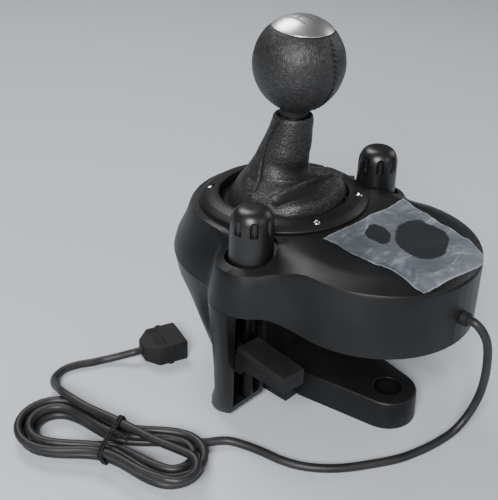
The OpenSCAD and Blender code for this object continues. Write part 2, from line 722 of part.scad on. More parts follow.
function ball_point(r, a) = [r * sin(a), ball_rise + r * cos(a) * (cos(a) < 0 ? low_stretch : 1)];
function ball_arc(r, a0, a1, n) = [for (i = [0 : n]) ball_point(r, a0 + (a1 - a0) * i / n)];
base_angle = 160;

module lever_shaft() {
    color(steel) leaned() difference() {
        translate([0, 0, shaft_low]) cylinder(r = shaft_r, h = ball_rise - shaft_low);
        translate([-shaft_r - bite, 0, pin_seat]) rotate([0, 90, 0])
            cylinder(r = retain_r + press_gap, h = 2 * (shaft_r + bite));
    }
}
module retaining_pin() {
    color(steel) leaned() translate([-retain_half, 0, pin_seat]) rotate([0, 90, 0])
        cylinder(r = retain_r, h = 2 * retain_half);
}
module knob_core() {
    core_r = ball_r - hide_t - core_gap;
    color(gloss_black) leaned() difference() {
        union() {
            rotate_extrude($fn = 96) polygon(concat(
                [[0, ball_rise + core_r * cos(cap_half_angle)]],
                ball_arc(core_r, cap_half_angle, base_angle, 24),
                [[0, ball_rise + core_r * cos(base_angle) * low_stretch]]));
            translate([0, 0, neck_low]) cylinder(r = neck_r, h = 8);
        }
        translate([0, 0, neck_low - bite]) cylinder(r = shaft_r + press_gap, h = ball_rise - neck_low + bite);
    }
}
module knob_leather() {
    color(hide_black) leaned() rotate_extrude($fn = 96) polygon(concat(
        ball_arc(ball_r, cap_half_angle + 0.6, base_angle, 28),
        reversed(ball_arc(ball_r - hide_t, cap_half_angle + 0.6, base_angle, 28))));
}
module knob_cap() {
    color(steel) leaned() rotate_extrude($fn = 96) polygon(concat(
        [for (i = [0 : 12]) ball_point(ball_r + 0.3, cap_half_angle * i / 12)],
        [[(ball_r - hide_t - 0.2) * sin(cap_half_angle),
            ball_rise + (ball_r - hide_t) * cos(cap_half_angle)]],
        [[0, ball_rise + (ball_r - hide_t) * cos(cap_half_angle)]]));
}

// Clamp knobs, screws and the bushes that carry them
bush_t = 6;
bush_low = parting_z - bush_t;
knob_low = deck_z - lobe_fall - 4;
collar_r = 7;
collar_t = 3;
knob_dome = 9.8;
knob_draft = 0.5;
dome_fullness = 0.55;
grip_n = 8;
grip_start = 3;
grip_r = 2.2;
grip_run = 6.4;
grip_below_dome = 2.6;
screw_low = slot_low + 0.6;

module right_side() {
    children();
}
module left_side() {
    mirror([1, 0, 0]) children();
}
module at_knob(z) {
    translate([knob_x, knob_y, z]) children();
}
module knob_bush() {
    color(white_nylon) difference() {
        translate([slot_in, slot_back_y, bush_low])
            cube([slot_out - slot_in, leg_front_y - slot_back_y, bush_t]);
        at_knob(bush_low - bite) cylinder(r = screw_r + run_fit, h = bush_t + 2 * bite);
    }
}
module clamp_knob() {
    straight = knob_top_z - knob_dome - knob_low;
    color(gloss_black) at_knob(knob_low) difference() {
        rotate_extrude($fn = 96) polygon(concat(
            [[0, 0], [knob_r, 0]],
            [for (i = [0 : 18])
                let (a = 5 * i)
                [(knob_r - knob_draft) * pow(max(0, cos(a)), dome_fullness), straight + knob_dome * sin(a)]]));
        ring_of(grip_n, knob_r - knob_draft, grip_start) translate([0, 0, straight - grip_below_dome]) {
            cylinder(r = grip_r, h = grip_run, $fn = 24);
            translate([0, 0, grip_run]) sphere(r = grip_r, $fn = 24);
        }
        translate([0, 0, -bite]) cylinder(r = screw_r + press_gap, h = 8 + bite);
    }
}
module clamp_screw() {
    color(steel) at_knob(screw_low) union() {
        cylinder(r = screw_r, h = knob_low + 8 - screw_low);
        translate([0, 0, parting_z + seat_gap - screw_low]) cylinder(r = collar_r, h = collar_t);
        translate([0, 0, bush_low - seat_gap - collar_t + 1 - screw_low])
            cylinder(r = screw_r + 1.6, h = collar_t - 1);
    }
}
module left_knob_bush() { left_side() knob_bush(); }
module right_knob_bush() { right_side() knob_bush(); }
module left_clamp_knob() { left_side() clamp_knob(); }
module right_clamp_knob() { right_side() clamp_knob(); }
module left_clamp_screw() { left_side() clamp_screw(); }
module right_clamp_screw() { right_side() clamp_screw(); }

// Jaws that climb the clamp screws
jaw_root_t = 16;
jaw_tip_t = 9.6;
jaw_pad_t = 4;
jaw_in = -1.6;
jaw_out = 12.2;
jaw_neck_y = leg_front_y + 1.4;
nut_t = 6.5;
nut_af = 11;
jaw_step = 0.8;
nut_front_y = knob_y + nut_af / 2 / cos(30) + 1.6;
teeth_n = 14;
tooth_h = 0.9;

module turned_jaw() {
    translate([knob_x, jaw_neck_y, 0]) rotate([0, 0, -jaw_turn]) children();
}
module nut_shape(grow) {
    rotate([0, 0, 30]) cylinder(r = (nut_af / 2 + grow) / cos(30), h = nut_t + 2 * grow, $fn = 6);
}
module jaw() {
    len_y = jaw_tip_y - jaw_neck_y;
    color(matt_black) difference() {
        union() {
            translate([slot_in + free_gap, slot_back_y + free_gap, jaw_z - jaw_root_t])
                cube([slot_out - slot_in - 2 * free_gap, nut_front_y - slot_back_y - free_gap,
                    jaw_root_t - jaw_pad_t - jaw_step]);
            turned_jaw() translate([jaw_in, 0, jaw_z]) rotate([90, 0, 90])
                linear_extrude(height = jaw_out - jaw_in) polygon([
                    [-3, -jaw_pad_t], [len_y, -jaw_pad_t], [len_y, -jaw_tip_t],
                    [len_y * 0.5, -jaw_tip_t - 2.4],
                    [-3, -jaw_root_t + 1]]);
        }
        at_knob(jaw_z - jaw_root_t - bite) cylinder(r = screw_r + run_fit, h = jaw_root_t + 2 * bite);
        at_knob(jaw_z - jaw_root_t + 2) nut_shape(press_gap);
    }
}
module jaw_nut() {
    color(brass) at_knob(jaw_z - jaw_root_t + 2 + 2 * press_gap) difference() {
        nut_shape(0);
        translate([0, 0, -bite]) cylinder(r = screw_r + run_fit, h = nut_t + 2 * bite);
    }
}
module jaw_pad() {
    len_y = jaw_tip_y - jaw_neck_y;
    pitch = len_y / teeth_n;
    color(rubber_black) turned_jaw() translate([jaw_in, 0, jaw_z]) rotate([90, 0, 90])
        linear_extrude(height = jaw_out - jaw_in) polygon(concat(
            [[0, -jaw_pad_t], [len_y, -jaw_pad_t]],
            flat([for (i = [teeth_n - 1 : -1 : 0])
                [[(i + 0.95) * pitch, 0], [(i + 0.35) * pitch, 0], [(i + 0.05) * pitch, -tooth_h]]])));
}
module left_jaw() { left_side() jaw(); }
module right_jaw() { right_side() jaw(); }
module left_jaw_nut() { left_side() jaw_nut(); }
module right_jaw_nut() { right_side() jaw_nut(); }
module left_jaw_pad() { left_side() jaw_pad(); }
module right_jaw_pad() { right_side() jaw_pad(); }

// Cord: gland, lead, hank, tail and plug
cord_r = cord_d / 2;
gland_out = 3;
gland_face = tongue_y + tongue_r + gland_out;
floor_z = cord_r + 0.1;
hank_c = [130, 0.6];
hank_angle = 113.5;
hank_pitch = 5.8;
hank_layer = 5.2;
hank_pinch = 4.5;
hank_turns = 3.75;
hank_turn_back = 1.75;
hank_rings = 24;
hank_low = 0.9 + cord_r;
lead_sides = 10;

function hank_to(u, v, z) = [
    hank_c[0] + u * cos(hank_angle) + v * sin(hank_angle),
    hank_c[1] + u * sin(hank_angle) - v * cos(hank_angle), z];
function hank_b(t) = hank_r - hank_pitch * (t < hank_turn_back ? t : 2 * hank_turn_back - t);
function hank_z(t) =
    hank_low + hank_layer * (ease(max(0, min(1, (t - 1.5) * 4))) + ease(max(0, min(1, (t - 3.5) * 4))));
function pinched(b, u) = b - hank_pinch * pow(cos(90 * u / hank_run), 2);
function hank_point(t) =
    let (s = t - floor(t), b = hank_b(t), q = floor(s * 4), f = s * 4 - q, z = hank_z(t))
    q == 0 ? let (u = hank_run * (1 - 2 * f)) hank_to(u, -pinched(b, u), z)
    : q == 1 ? hank_to(-hank_run - b * sin(180 * f), -b * cos(180 * f), z)
    : q == 2 ? let (u = hank_run * (2 * f - 1)) hank_to(u, pinched(b, u), z)
    : hank_to(hank_run + b * sin(180 * f), b * cos(180 * f), z);
hank_path = concat(
    [hank_to(hank_run + cord_d, -hank_r, hank_low)],
    [for (i = [0 : hank_turns * hank_rings]) hank_point(i / hank_rings)],
    [hank_to(hank_run + cord_d, hank_b(hank_turns), hank_z(hank_turns))]);

lead_points = [
    [0, gland_face, gland_z], [0, gland_face + 4, gland_z],
    [-1.5, 131, 77.5], [-5, 133, 70], [-9.5, 133, 58],
    [-13.5, 132, 43], [-15.5, 130, 28], [-13.5, 127, 14.5], [-6, 124.5, 6.5], [4, 121.5, 3.2],
    [15, 118.5, floor_z], [29.5, 113.5, floor_z], [44, 105, floor_z], [57.5, 95.5, floor_z],
    [68, 84, floor_z], [74, 72, floor_z], [77, 58.5, floor_z], [80, 48.5, floor_z + 0.2],
    [84.7, 39.5, floor_z + 0.5], hank_to(hank_run + 2 * cord_d, -hank_r, hank_low),
    hank_to(hank_run + cord_d, -hank_r, hank_low)];
tail_turn_r = 10.5;
tail_turn_v = hank_b(hank_turns) - tail_turn_r;
tail_z = hank_z(hank_turns);
plug_c = [66.8, -48.3, 6.9];
plug_angle = 160;
function plug_to(d) = plug_c + [d * cos(plug_angle), d * sin(plug_angle), 0];
tail_points = concat(
    [hank_to(hank_run + cord_d, hank_b(hank_turns), tail_z)],
    [for (i = [0 : 6]) hank_to(hank_run + 1.5 * cord_d + tail_turn_r * sin(30 * i),
        tail_turn_v + tail_turn_r * cos(30 * i), tail_z)],
    [hank_to(22, -2.5, tail_z), hank_to(0, -8, tail_z), hank_to(-22, -12.5, tail_z),
        hank_to(-37, -17.5, tail_z),
        hank_to(-46.5, -25, tail_z - 3.5), hank_to(-54, -33, floor_z + 1.2), hank_to(-57.5, -41, floor_z),
        hank_to(-56.5, -49, floor_z), hank_to(-51.5, -55.5, floor_z), hank_to(-44.5, -61, floor_z)],
    [[86, -62, floor_z], [79, -57, 3.8], [74, -52.3, 5.9], plug_to(-cord_d), plug_to(0)]);

// A path through the points with a knot halfway along each span
function mid_knot(p, i) = let (n = len(p) - 1)
    (9 * (p[i] + p[i + 1]) - p[max(0, i - 1)] - p[min(n, i + 2)]) / 16;
function eased_path(p) = concat(
    [p[0]], flat([for (i = [0 : len(p) - 2])
        (i == 0 || i == len(p) - 2) ? [p[i + 1]] : [mid_knot(p, i), p[i + 1]]]));

module cord_lead() {
    color(cord_grey) tube_along(eased_path(lead_points), cord_r, lead_sides);
}
module cord_hank() {
    color(cord_grey) tube_along(hank_path, cord_r, wire_sides);
}
module cord_tail() {
    color(cord_grey) tube_along(eased_path(tail_points), cord_r, lead_sides);
}
module cord_gland() {
    color(rubber_black) translate([0, gland_face, gland_z]) rotate([90, 0, 0]) union() {
        cylinder(r = gland_r, h = gland_out + wall);
        translate([0, 0, gland_out + wall + 0.6]) cylinder(r = gland_r + gland_lip, h = 2);
        translate([0, 0, gland_out]) cylinder(r = gland_r, h = wall + 1);
    }
}

// Least gap between stretches of the hank that are not next to each other
near_rings = 4;
least_gap = min([for (i = [0 : len(hank_path) - near_rings - 1])
    for (j = [i + near_rings : len(hank_path) - 1]) norm(hank_path[i] - hank_path[j])]) - cord_d;
echo(least_gap = least_gap);

tie_t = 0.7;
tie_w = 2.4;
tie_half = hank_b(hank_turns) - hank_pinch + cord_r + 0.4;
tie_h = tail_z + cord_r + 0.4;
module cord_tie() {
    color(gloss_black) translate([hank_c[0], hank_c[1], 0]) rotate([0, 0, hank_angle - 90]) {
        rotate([90, 0, 0]) linear_extrude(height = tie_w, center = true) difference() {
            tie_outer();
            tie_inner();
        }
        translate([-4, 0, tie_h + tie_t - 0.3]) rotate([0, 78, 20]) cylinder(r = 0.8, h = 13, $fn = 24);
    }
}
module tie_inner() {
    hull() for (s = [-1, 1]) {
        translate([s * (tie_half - 3), tie_t + 3]) circle(r = 3, $fn = 24);
        translate([s * (tie_half - 6), tie_h - 6]) circle(r = 6, $fn = 24);
    }
}
module tie_outer() {
    hull() for (s = [-1, 1]) {
        translate([s * (tie_half - 3), tie_t + 3]) circle(r = 3 + tie_t, $fn = 24);
        translate([s * (tie_half - 6), tie_h - 6]) circle(r = 6 + tie_t, $fn = 24);
    }
}

// Nine-way plug
hood_l = 16;
hood_neck_l = 7;
rib_pitch = 2.2;
hood_w = 22;
hood_t = 12.6;
shell_l = 8;
shell_w = 15.6;
shell_t = 8;
module at_plug() {
    translate(plug_c) rotate([0, 0, plug_angle]) children();
}
module plug_hood() {
    color(rubber_black) at_plug() difference() {
        union() {
            hull() {
                translate([0, -5, -4.5]) cube([1, 10, 9]);
                translate([hood_neck_l, -hood_w / 2, -hood_t / 2])
                    cube([hood_l - hood_neck_l - 2, hood_w, hood_t]);
            }
            translate([hood_l - 3, -hood_w / 2 - 0.6, -hood_t / 2 - 0.4])
                cube([3, hood_w + 1.2, hood_t + 0.8]);
        }
        for (x = [hood_neck_l : rib_pitch : hood_l - 4]) for (s = [-1, 1])
            translate([x, -hood_w / 2 + 3, s * hood_t / 2 - 0.6]) cube([1.1, hood_w - 6, 1.2]);
    }
}
module plug_shell() {
    color(steel) at_plug() translate([hood_l, 0, 0]) rotate([90, 0, 90]) union() {
        linear_extrude(height = 1) square([hood_w - 1, hood_t - 2], center = true);
        linear_extrude(height = shell_l) difference() {
            polygon([[-shell_w / 2, shell_t / 2], [shell_w / 2, shell_t / 2],
                [shell_w / 2 - 1.4, -shell_t / 2],
                [-shell_w / 2 + 1.4, -shell_t / 2]]);
            polygon([[-shell_w / 2 + 0.7, shell_t / 2 - 0.6], [shell_w / 2 - 0.7, shell_t / 2 - 0.6],
                [shell_w / 2 - 2, -shell_t / 2 + 0.6], [-shell_w / 2 + 2, -shell_t / 2 + 0.6]]);
        }
    }
}
cover_wall = 1.1;
module plug_cover() {
    inner_l = shell_l + 0.2;
    color(rubber_black) at_plug() translate([hood_l + seat_gap, 0, 0]) difference() {
        hull() {
            translate([0, -hood_w / 2, -hood_t / 2]) cube([inner_l, hood_w, hood_t]);
            translate([0, -hood_w / 2 + 0.6, -hood_t / 2 + 0.6])
                cube([inner_l + cover_wall, hood_w - 1.2, hood_t - 1.2]);
        }
        translate([-bite, -hood_w / 2 + 0.3, -hood_t / 2 + cover_wall - 0.3])
            cube([inner_l + bite, hood_w - 0.6, hood_t - 2 * cover_wall + 0.6]);
    }
}
module plug_screws() {
    color(steel) at_plug() for (s = [-1, 1])
        translate([hood_l + 1, s * (hood_w / 2 - 1.6), 0]) rotate([0, 90, 0]) cylinder(r = 1.2, h = 5);
}

top_cover();
lower_housing();
centre_foot();
tongue_base();
table_pads();
base_screws();
bezel_ring();
bezel_screws();
badge_disc();
boot();
gate_plate();
gimbal_cradle();
cradle_screws();
shift_sensor();
circuit_board();
board_chips();
left_knob_bush();
right_knob_bush();
cord_gland();
gimbal_yoke();
gimbal_pins();
select_sensor();
lever_tube();
lever_pin();
boot_collar();
centring_spring();
press_spring();
lever_shaft();
retaining_pin();
knob_core();
knob_leather();
knob_cap();
left_clamp_knob();
left_clamp_screw();
right_clamp_knob();
right_clamp_screw();
left_jaw();
left_jaw_nut();
left_jaw_pad();
right_jaw();
right_jaw_nut();
right_jaw_pad();
cord_lead();
cord_hank();
cord_tail();
cord_tie();
plug_hood();
plug_shell();
plug_screws();
plug_cover();
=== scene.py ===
import math

import bmesh
import bpy
from mathutils import Matrix, Vector, geometry, noise
from mathutils.bvhtree import BVHTree


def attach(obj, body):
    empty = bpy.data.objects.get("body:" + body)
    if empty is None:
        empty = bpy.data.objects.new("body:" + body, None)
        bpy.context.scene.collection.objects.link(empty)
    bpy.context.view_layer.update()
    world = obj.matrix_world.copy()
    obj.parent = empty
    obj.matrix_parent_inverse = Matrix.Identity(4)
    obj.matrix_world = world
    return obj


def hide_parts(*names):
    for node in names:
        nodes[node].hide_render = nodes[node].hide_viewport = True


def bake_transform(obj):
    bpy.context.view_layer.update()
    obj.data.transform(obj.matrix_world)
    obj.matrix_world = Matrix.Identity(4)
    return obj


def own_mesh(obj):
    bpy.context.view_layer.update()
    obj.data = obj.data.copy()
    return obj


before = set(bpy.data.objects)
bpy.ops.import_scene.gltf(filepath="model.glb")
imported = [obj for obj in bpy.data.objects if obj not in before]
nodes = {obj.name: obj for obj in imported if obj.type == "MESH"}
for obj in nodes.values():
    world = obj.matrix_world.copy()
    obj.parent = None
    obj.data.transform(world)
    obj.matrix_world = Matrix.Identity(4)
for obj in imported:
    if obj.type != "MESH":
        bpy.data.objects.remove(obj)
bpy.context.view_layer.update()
mm = 0.001
print("frame loaded,", len(nodes), "nodes")


def point(x, y, z):  # millimetres to metres
    return Vector((x, y, z)) * mm


def ease(t):
    t = min(1, max(0, t))
    return t * t * (3 - 2 * t)


def lerp(a, b, t):
    return a + (b - a) * t


def bell(gap, wide):  # 1 in the middle, fading over the width
    return math.exp(-((gap / wide) ** 2))


def through(a, b, c, d, t):  # smooth way from b to c, between the points before and after them
    return 0.5 * (2 * b + (c - a) * t + (2 * a - 5 * b + 4 * c - d) * t * t + (3 * b - a - 3 * c + d) * t ** 3)


def linked(name, data):
    made = bpy.data.objects.new(name, data)
    bpy.context.scene.collection.objects.link(made)
    return made


def settled(name, mesh):  # a bmesh made into a mesh
    made = bpy.data.meshes.new(name)
    mesh.to_mesh(made)
    mesh.free()
    return made


def evaluated(held):  # the mesh that an object's modifiers or curve give
    bpy.context.view_layer.update()
    return bpy.data.meshes.new_from_object(held.evaluated_get(bpy.context.evaluated_depsgraph_get()))


# camera at the photograph's place
cameraSet = {
    "place": (347.4, 285.7, 331.4),
    "right": (-0.6797, 0.7328, 0.0320),
    "up": (-0.3510, -0.3633, 0.8632),
    "back": (0.6441, 0.5755, 0.5041),
    "focal": 64.42,
    "sensor": 36.0,
    "near": 0.01,
}


def placeCamera():
    lens = bpy.data.cameras.new("camera")
    lens.sensor_fit = "HORIZONTAL"
    lens.sensor_width = cameraSet["sensor"]
    lens.lens = cameraSet["focal"]
    lens.clip_start = cameraSet["near"]
    turn = Matrix((cameraSet["right"], cameraSet["up"], cameraSet["back"])).transposed().to_4x4()
    camera = linked("camera", lens)
    camera.matrix_world = Matrix.Translation(point(*cameraSet["place"])) @ turn
    bpy.context.scene.camera = camera


placeCamera()
print("camera placed")


# shader sockets that take Python's operators
class Wire:
    def __init__(self, finish, socket):
        self.finish = finish
        self.socket = socket

    def maths(self, operation, other, swap=False):
        pair = (other, self) if swap else (self, other)
        return self.finish.add("ShaderNodeMath", {"operation": operation}, {0: pair[0], 1: pair[1]})

    def __add__(self, other):
        return self.maths("ADD", other)

    def __radd__(self, other):
        return self.maths("ADD", other, True)

    def __sub__(self, other):
        return self.maths("SUBTRACT", other)

    def __rsub__(self, other):
        return self.maths("SUBTRACT", other, True)

    def __mul__(self, other):
        return self.maths("MULTIPLY", other)

    def __rmul__(self, other):
        return self.maths("MULTIPLY", other, True)

    def __lt__(self, other):
        return self.maths("LESS_THAN", other)

    def least(self, other):
        return self.maths("MINIMUM", other)

    def most(self, other):
        return self.maths("MAXIMUM", other)

    def size(self):
        return self.finish.add("ShaderNodeMath", {"operation": "ABSOLUTE"}, {0: self})

    def span(self, low, high, toLow=0.0, toHigh=1.0):  # eased from one range to another
        sockets = {0: self, 1: low, 2: high, 3: toLow, 4: toHigh}
        return self.finish.add("ShaderNodeMapRange", {"interpolation_type": "SMOOTHSTEP"}, sockets)


class Finish:
    def __init__(self, name, fixed):
        self.material = bpy.data.materials.new(name)
        self.material.use_nodes = True
        self.tree = self.material.node_tree
        self.shader = self.tree.nodes["Principled BSDF"]
        for socketName, value in fixed.items():
            self.shader.inputs[socketName].default_value = value
        self.place = self.add("ShaderNodeTexCoord", out="Object")

    def add(self, kind, settings=None, sockets=None, out=0):
        made = self.tree.nodes.new(kind)
        for key, value in (settings or {}).items():
            setattr(made, key, value)
        for key, value in (sockets or {}).items():
            if isinstance(value, Wire):
                self.tree.links.new(value.socket, made.inputs[key])
            else:
                made.inputs[key].default_value = value
        return Wire(self, made.outputs[out])

    def noise(self, scale, detail=2.0, rough=0.5, place=None, distortion=0.0):
        sockets = {"Vector": place or self.place, "Scale": scale, "Detail": detail, "Roughness": rough}
        return self.add("ShaderNodeTexNoise", None, {**sockets, "Distortion": distortion}, "Fac")

    def stretch(self, scale, turn=(0, 0, 0), shift=(0, 0, 0), place=None):
        sockets = {"Vector": place or self.place, "Scale": scale, "Rotation": turn, "Location": shift}
        return self.add("ShaderNodeMapping", None, sockets)

    def pebbles(self, scale, place):  # plump cells with thin creases between them
        sockets = {"Vector": self.stretch(scale, place=place), "Scale": 1.0, "Randomness": 0.85}
        return self.add("ShaderNodeTexVoronoi", {"feature": "DISTANCE_TO_EDGE"}, sockets, "Distance").span(0.02, 0.3)

    def vectors(self, operation, first, sockets):
        return self.add("ShaderNodeVectorMath", {"operation": operation}, {0: first, **sockets})

    def bent(self, place, scale, reach):  # the place with a small wandering offset
        sway = self.add("ShaderNodeTexNoise", None, {"Vector": self.place, "Scale": scale, "Detail": 2.0}, "Color")
        sway = self.vectors("SUBTRACT", sway, {1: (0.5, 0.5, 0.5)})
        return self.vectors("ADD", place, {1: self.vectors("SCALE", sway, {3: reach * 2})})

    def parts(self, place):
        first = self.add("ShaderNodeSeparateXYZ", None, {0: place})
        return [Wire(self, socket) for socket in first.socket.node.outputs]

    def blend(self, mask, low, high):  # low and high are colours
        return self.add("ShaderNodeMix", {"data_type": "RGBA"}, {0: mask, 6: (*low, 1.0), 7: (*high, 1.0)}, 2)

    def feed(self, socketName, wire):
        self.tree.links.new(wire.socket, self.shader.inputs[socketName])

    def mottle(self, cloud, dark, light):
        self.feed("Base Color", self.blend(cloud.span(0.3, 0.7), dark, light))

    def bump(self, height, depth, strength=1.0):
        sockets = {"Height": height, "Distance": depth, "Strength": strength}
        self.feed("Normal", self.add("ShaderNodeBump", None, sockets, "Normal"))


def grainedPlastic(name, dark, light, rough, grain, depth):
    made = Finish(name, {"Specular IOR Level": 0.3})
    cloud = made.noise(34, 3)
    speck = made.noise(grain, 2, 0.6)
    made.mottle(cloud, dark, light)
    made.feed("Roughness", rough + (cloud - 0.5) * 0.16 + (speck - 0.5) * 0.12)
    made.bump(speck + cloud * 0.3, depth)
    return made.material


def glossPlastic(name, dark, light, rough):
    made = Finish(name, {"Specular IOR Level": 0.5})
    cloud = made.noise(60, 4)
    scuff = made.noise(1, 3, 0.6, made.stretch((900, 120, 300), (0.3, 0.2, 0.7)))
    made.mottle(cloud, dark, light)
    made.feed("Roughness", rough + (cloud - 0.5) * 0.1 + scuff.span(0.55, 0.75) * 0.08)
    made.bump(scuff, 0.00001)
    return made.material


def plainMetal(name, colour, rough, fine=700):
    made = Finish(name, {"Metallic": 1.0})
    cloud = made.noise(90, 3)
    brushed = made.noise(1, 2, 0.5, made.stretch((fine, fine, fine * 0.06)))
    worn = tuple(c * 0.8 for c in colour)
    made.feed("Base Color", made.blend(cloud.span(0.35, 0.7), worn, colour))
    made.feed("Roughness", rough + (brushed - 0.5) * 0.14 + (cloud - 0.5) * 0.08)
    made.bump(brushed, 0.00002)
    return made.material


def mattRubber(name, dark, light, rough=0.72):
    made = Finish(name, {"Specular IOR Level": 0.35})
    cloud = made.noise(70, 3)
    speck = made.noise(3200, 1)
    made.mottle(cloud, dark, light)
    made.feed("Roughness", rough + (cloud - 0.5) * 0.14)
    made.bump(speck, 0.00003)
    return made.material


ballLook = {  # the cells are long below the cap and rounder further down
    "upper": (150, 26, 1), "lower": (46, 72, 1), "change": (0.36, 0.52),
    "crease": (0.013, 0.013, 0.0135), "hide": (0.032, 0.0315, 0.031), "rough": 0.5, "depth": 0.00016,
}


def ballHide():
    made = Finish("ballHide", {"Specular IOR Level": 0.4})
    around = made.add("ShaderNodeUVMap", {"uv_map": "around"})
    warp = made.noise(260, 2)
    bent = made.bent(around, 200, 0.012)
    height = made.parts(around)[1]  # 0 at the top, 1 at the bottom
    upper = made.pebbles(ballLook["upper"], bent)
    lower = made.pebbles(ballLook["lower"], bent)
    grain = lower + (upper - lower) * height.span(*ballLook["change"], 1.0, 0.0)
    made.feed("Base Color", made.blend(grain, ballLook["crease"], ballLook["hide"]))
    made.feed("Roughness", ballLook["rough"] - grain * 0.06 + (warp - 0.5) * 0.1)
    made.bump(grain * 0.6 + warp * 0.4, ballLook["depth"], 0.7)
    return made.material


bootLook = {
    "cells": (520, 520, 760), "wrinkle": (230, 230, 640), "wrinkleTurn": (0.25, -0.2, 0),
    # crease is the dark end of both the grain's creases and the painted shade in the folds and seam groove
    "crease": (0.002, 0.002, 0.002), "hide": (0.026, 0.025, 0.024), "rough": 0.48, "depth": 0.00042,
}


def bootHide():
    made = Finish("bootHide", {"Specular IOR Level": 0.4})
    warp = made.noise(150, 3)
    bent = made.bent(made.place, 160, 0.0016)
    wrinkle = made.noise(1, 3, 0.55, made.stretch(bootLook["wrinkle"], bootLook["wrinkleTurn"]), 0.5)
    grain = made.pebbles(bootLook["cells"], bent)
    # painted shade from the fold attribute, darkest in the deep folds and the seam groove, which it also roughens
    paintedShade = made.add("ShaderNodeAttribute", {"attribute_name": "fold"}, out="Fac").span(0.1, 0.85)
    tone = (grain * 0.7 + 0.3) * (1 - paintedShade)  # painted shade: darker in the folds and the seam groove
    made.feed("Base Color", made.blend(tone, bootLook["crease"], bootLook["hide"]))
    made.feed("Roughness", bootLook["rough"] - grain * 0.06 + (warp - 0.5) * 0.16 + paintedShade * 0.42)
    made.bump(grain * 0.22 + wrinkle * 1.1 + warp * 0.5, bootLook["depth"], 0.8)
    return made.material


leverSet = {"pivot": 85.0, "lean": 3.0}
leanFrame = Matrix.Translation(point(0, 0, leverSet["pivot"]))
leanFrame = leanFrame @ Matrix.Rotation(math.radians(-leverSet["lean"]), 4, "X")
capLook = {  # three columns joined by a cross line, sunk into the metal
    "column": 6.2, "reach": 6.6, "line": 1.3, "metal": (0.72, 0.71, 0.7), "groove": (0.2, 0.2, 0.21),
    "rough": 0.34, "depth": 0.0003,
}


def satinCap():
    made = Finish("satinCap", {"Metallic": 1.0})
    back = leanFrame.inverted()  # into the lever's frame
    local = made.stretch((1, 1, 1), tuple(back.to_euler()), tuple(back.to_translation()))
    x, y = made.parts(local)[:2]
    half, reach, column = capLook["line"] / 2 * mm, capLook["reach"] * mm, capLook["column"] * mm
    lines = ((x.size() - column).size() < half).most(x.size() < half).least(y.size() < reach)
    groove = lines.most((y.size() < half).least(x.size() < column))
    spun = made.noise(1, 2, 0.5, made.stretch((240, 240, 4000), place=local))
    cloud = made.noise(45, 2)
    made.feed("Base Color", made.blend(groove, capLook["metal"], capLook["groove"]))
    made.feed("Roughness", capLook["rough"] + (spun - 0.5) * 0.12 + (cloud - 0.5) * 0.08 + groove * 0.2)
    made.bump(spun * 0.06 - groove, capLook["depth"], 0.8)
    return made.material


filmLook = {  # patches where the film clings and turns clear: middle and half size across and along the view
    "across": (-0.68, 0.733), "along": (0.733, 0.68),
    "clear": [((47.5, 46.0), (6.6, 10.0)), ((69.3, 50.0), (14.0, 20.0))],
    "thin": (0.36, 0.42, 0.5), "milky": (0.6, 0.65, 0.72), "rough": 0.2, "depth": 0.001,
}


def clearFilm():
    made = Finish("clearFilm", {"IOR": 1.4, "Specular IOR Level": 0.5})
    crinkle = made.noise(1, 4, 0.6, made.stretch((70, 150, 90), (0, 0, 0.75)), 0.8)
    haze = made.noise(55, 3)
    x, y = made.parts(made.bent(made.place, 90, 0.003))[:2]
    milk = haze.span(0.1, 0.9, 0.75, 1.0)
    for middle, half in filmLook["clear"]:
        spread = [
            ((x * way[0] + y * way[1]) * 1000 - middle[i]) * (1 / half[i])
            for i, way in enumerate((filmLook["across"], filmLook["along"]))
        ]
        milk = milk * (spread[0] * spread[0] + spread[1] * spread[1]).span(0.88, 1.04)
    s, t = made.parts(made.add("ShaderNodeUVMap", {"uv_map": "sheet"}))[:2]
    rim = ((s - 0.5).size() * 2).span(0.965, 0.995) + ((t - 0.5).size() * 2).span(0.965, 0.995)
    made.feed("Base Color", made.blend(haze, filmLook["thin"], filmLook["milky"]))
    made.feed("Roughness", filmLook["rough"] + milk * 0.22)
    made.feed("Alpha", 0.03 + milk * (0.17 + crinkle.span(0.5, 0.74) * 0.22) + rim * 0.2)
    made.bump(crinkle, filmLook["depth"], 0.7)
    made.material.surface_render_method = "BLENDED"
    return made.material


finishes = {  # dark and light colour, roughness, then grain and its depth
    "casing": grainedPlastic(
        "grainedCasing", (0.0048, 0.005, 0.0054), (0.0085, 0.0087, 0.0092), 0.42, 2300, 0.00006
    ),
    "jaw": grainedPlastic("roughJaw", (0.004, 0.004, 0.0044), (0.011, 0.011, 0.011), 0.6, 900, 0.00035),
    "knob": glossPlastic("polishedKnob", (0.0042, 0.0042, 0.0046), (0.0075, 0.0075, 0.0075), 0.36),
    "badge": glossPlastic("polishedBadge", (0.004, 0.004, 0.0045), (0.007, 0.007, 0.007), 0.14),
    "hide": ballHide(),
    "boot": bootHide(),
    "cap": satinCap(),
    "steel": plainMetal("plainSteel", (0.56, 0.57, 0.58), 0.32),
    "blackened": plainMetal("blackenedSteel", (0.03, 0.03, 0.032), 0.4),
    "screw": plainMetal("brightScrew", (0.72, 0.72, 0.72), 0.24),
    "brass": plainMetal("plainBrass", (0.71, 0.52, 0.22), 0.35),
    "rubber": mattRubber("mattRubber", (0.005, 0.005, 0.005), (0.011, 0.011, 0.011)),
    "cord": mattRubber("cordSheath", (0.012, 0.012, 0.0125), (0.022, 0.0215, 0.0215), 0.44),
    "thread": mattRubber("blackThread", (0.003, 0.003, 0.003), (0.008, 0.008, 0.008), 0.6),
    "nylon": grainedPlastic("paleNylon", (0.55, 0.55, 0.52), (0.68, 0.68, 0.64), 0.45, 1500, 0.00003),
    "board": glossPlastic("lacqueredBoard", (0.01, 0.07, 0.035), (0.016, 0.1, 0.05), 0.35),
    "film": clearFilm(),
}
print("finishes made:", len(finishes))


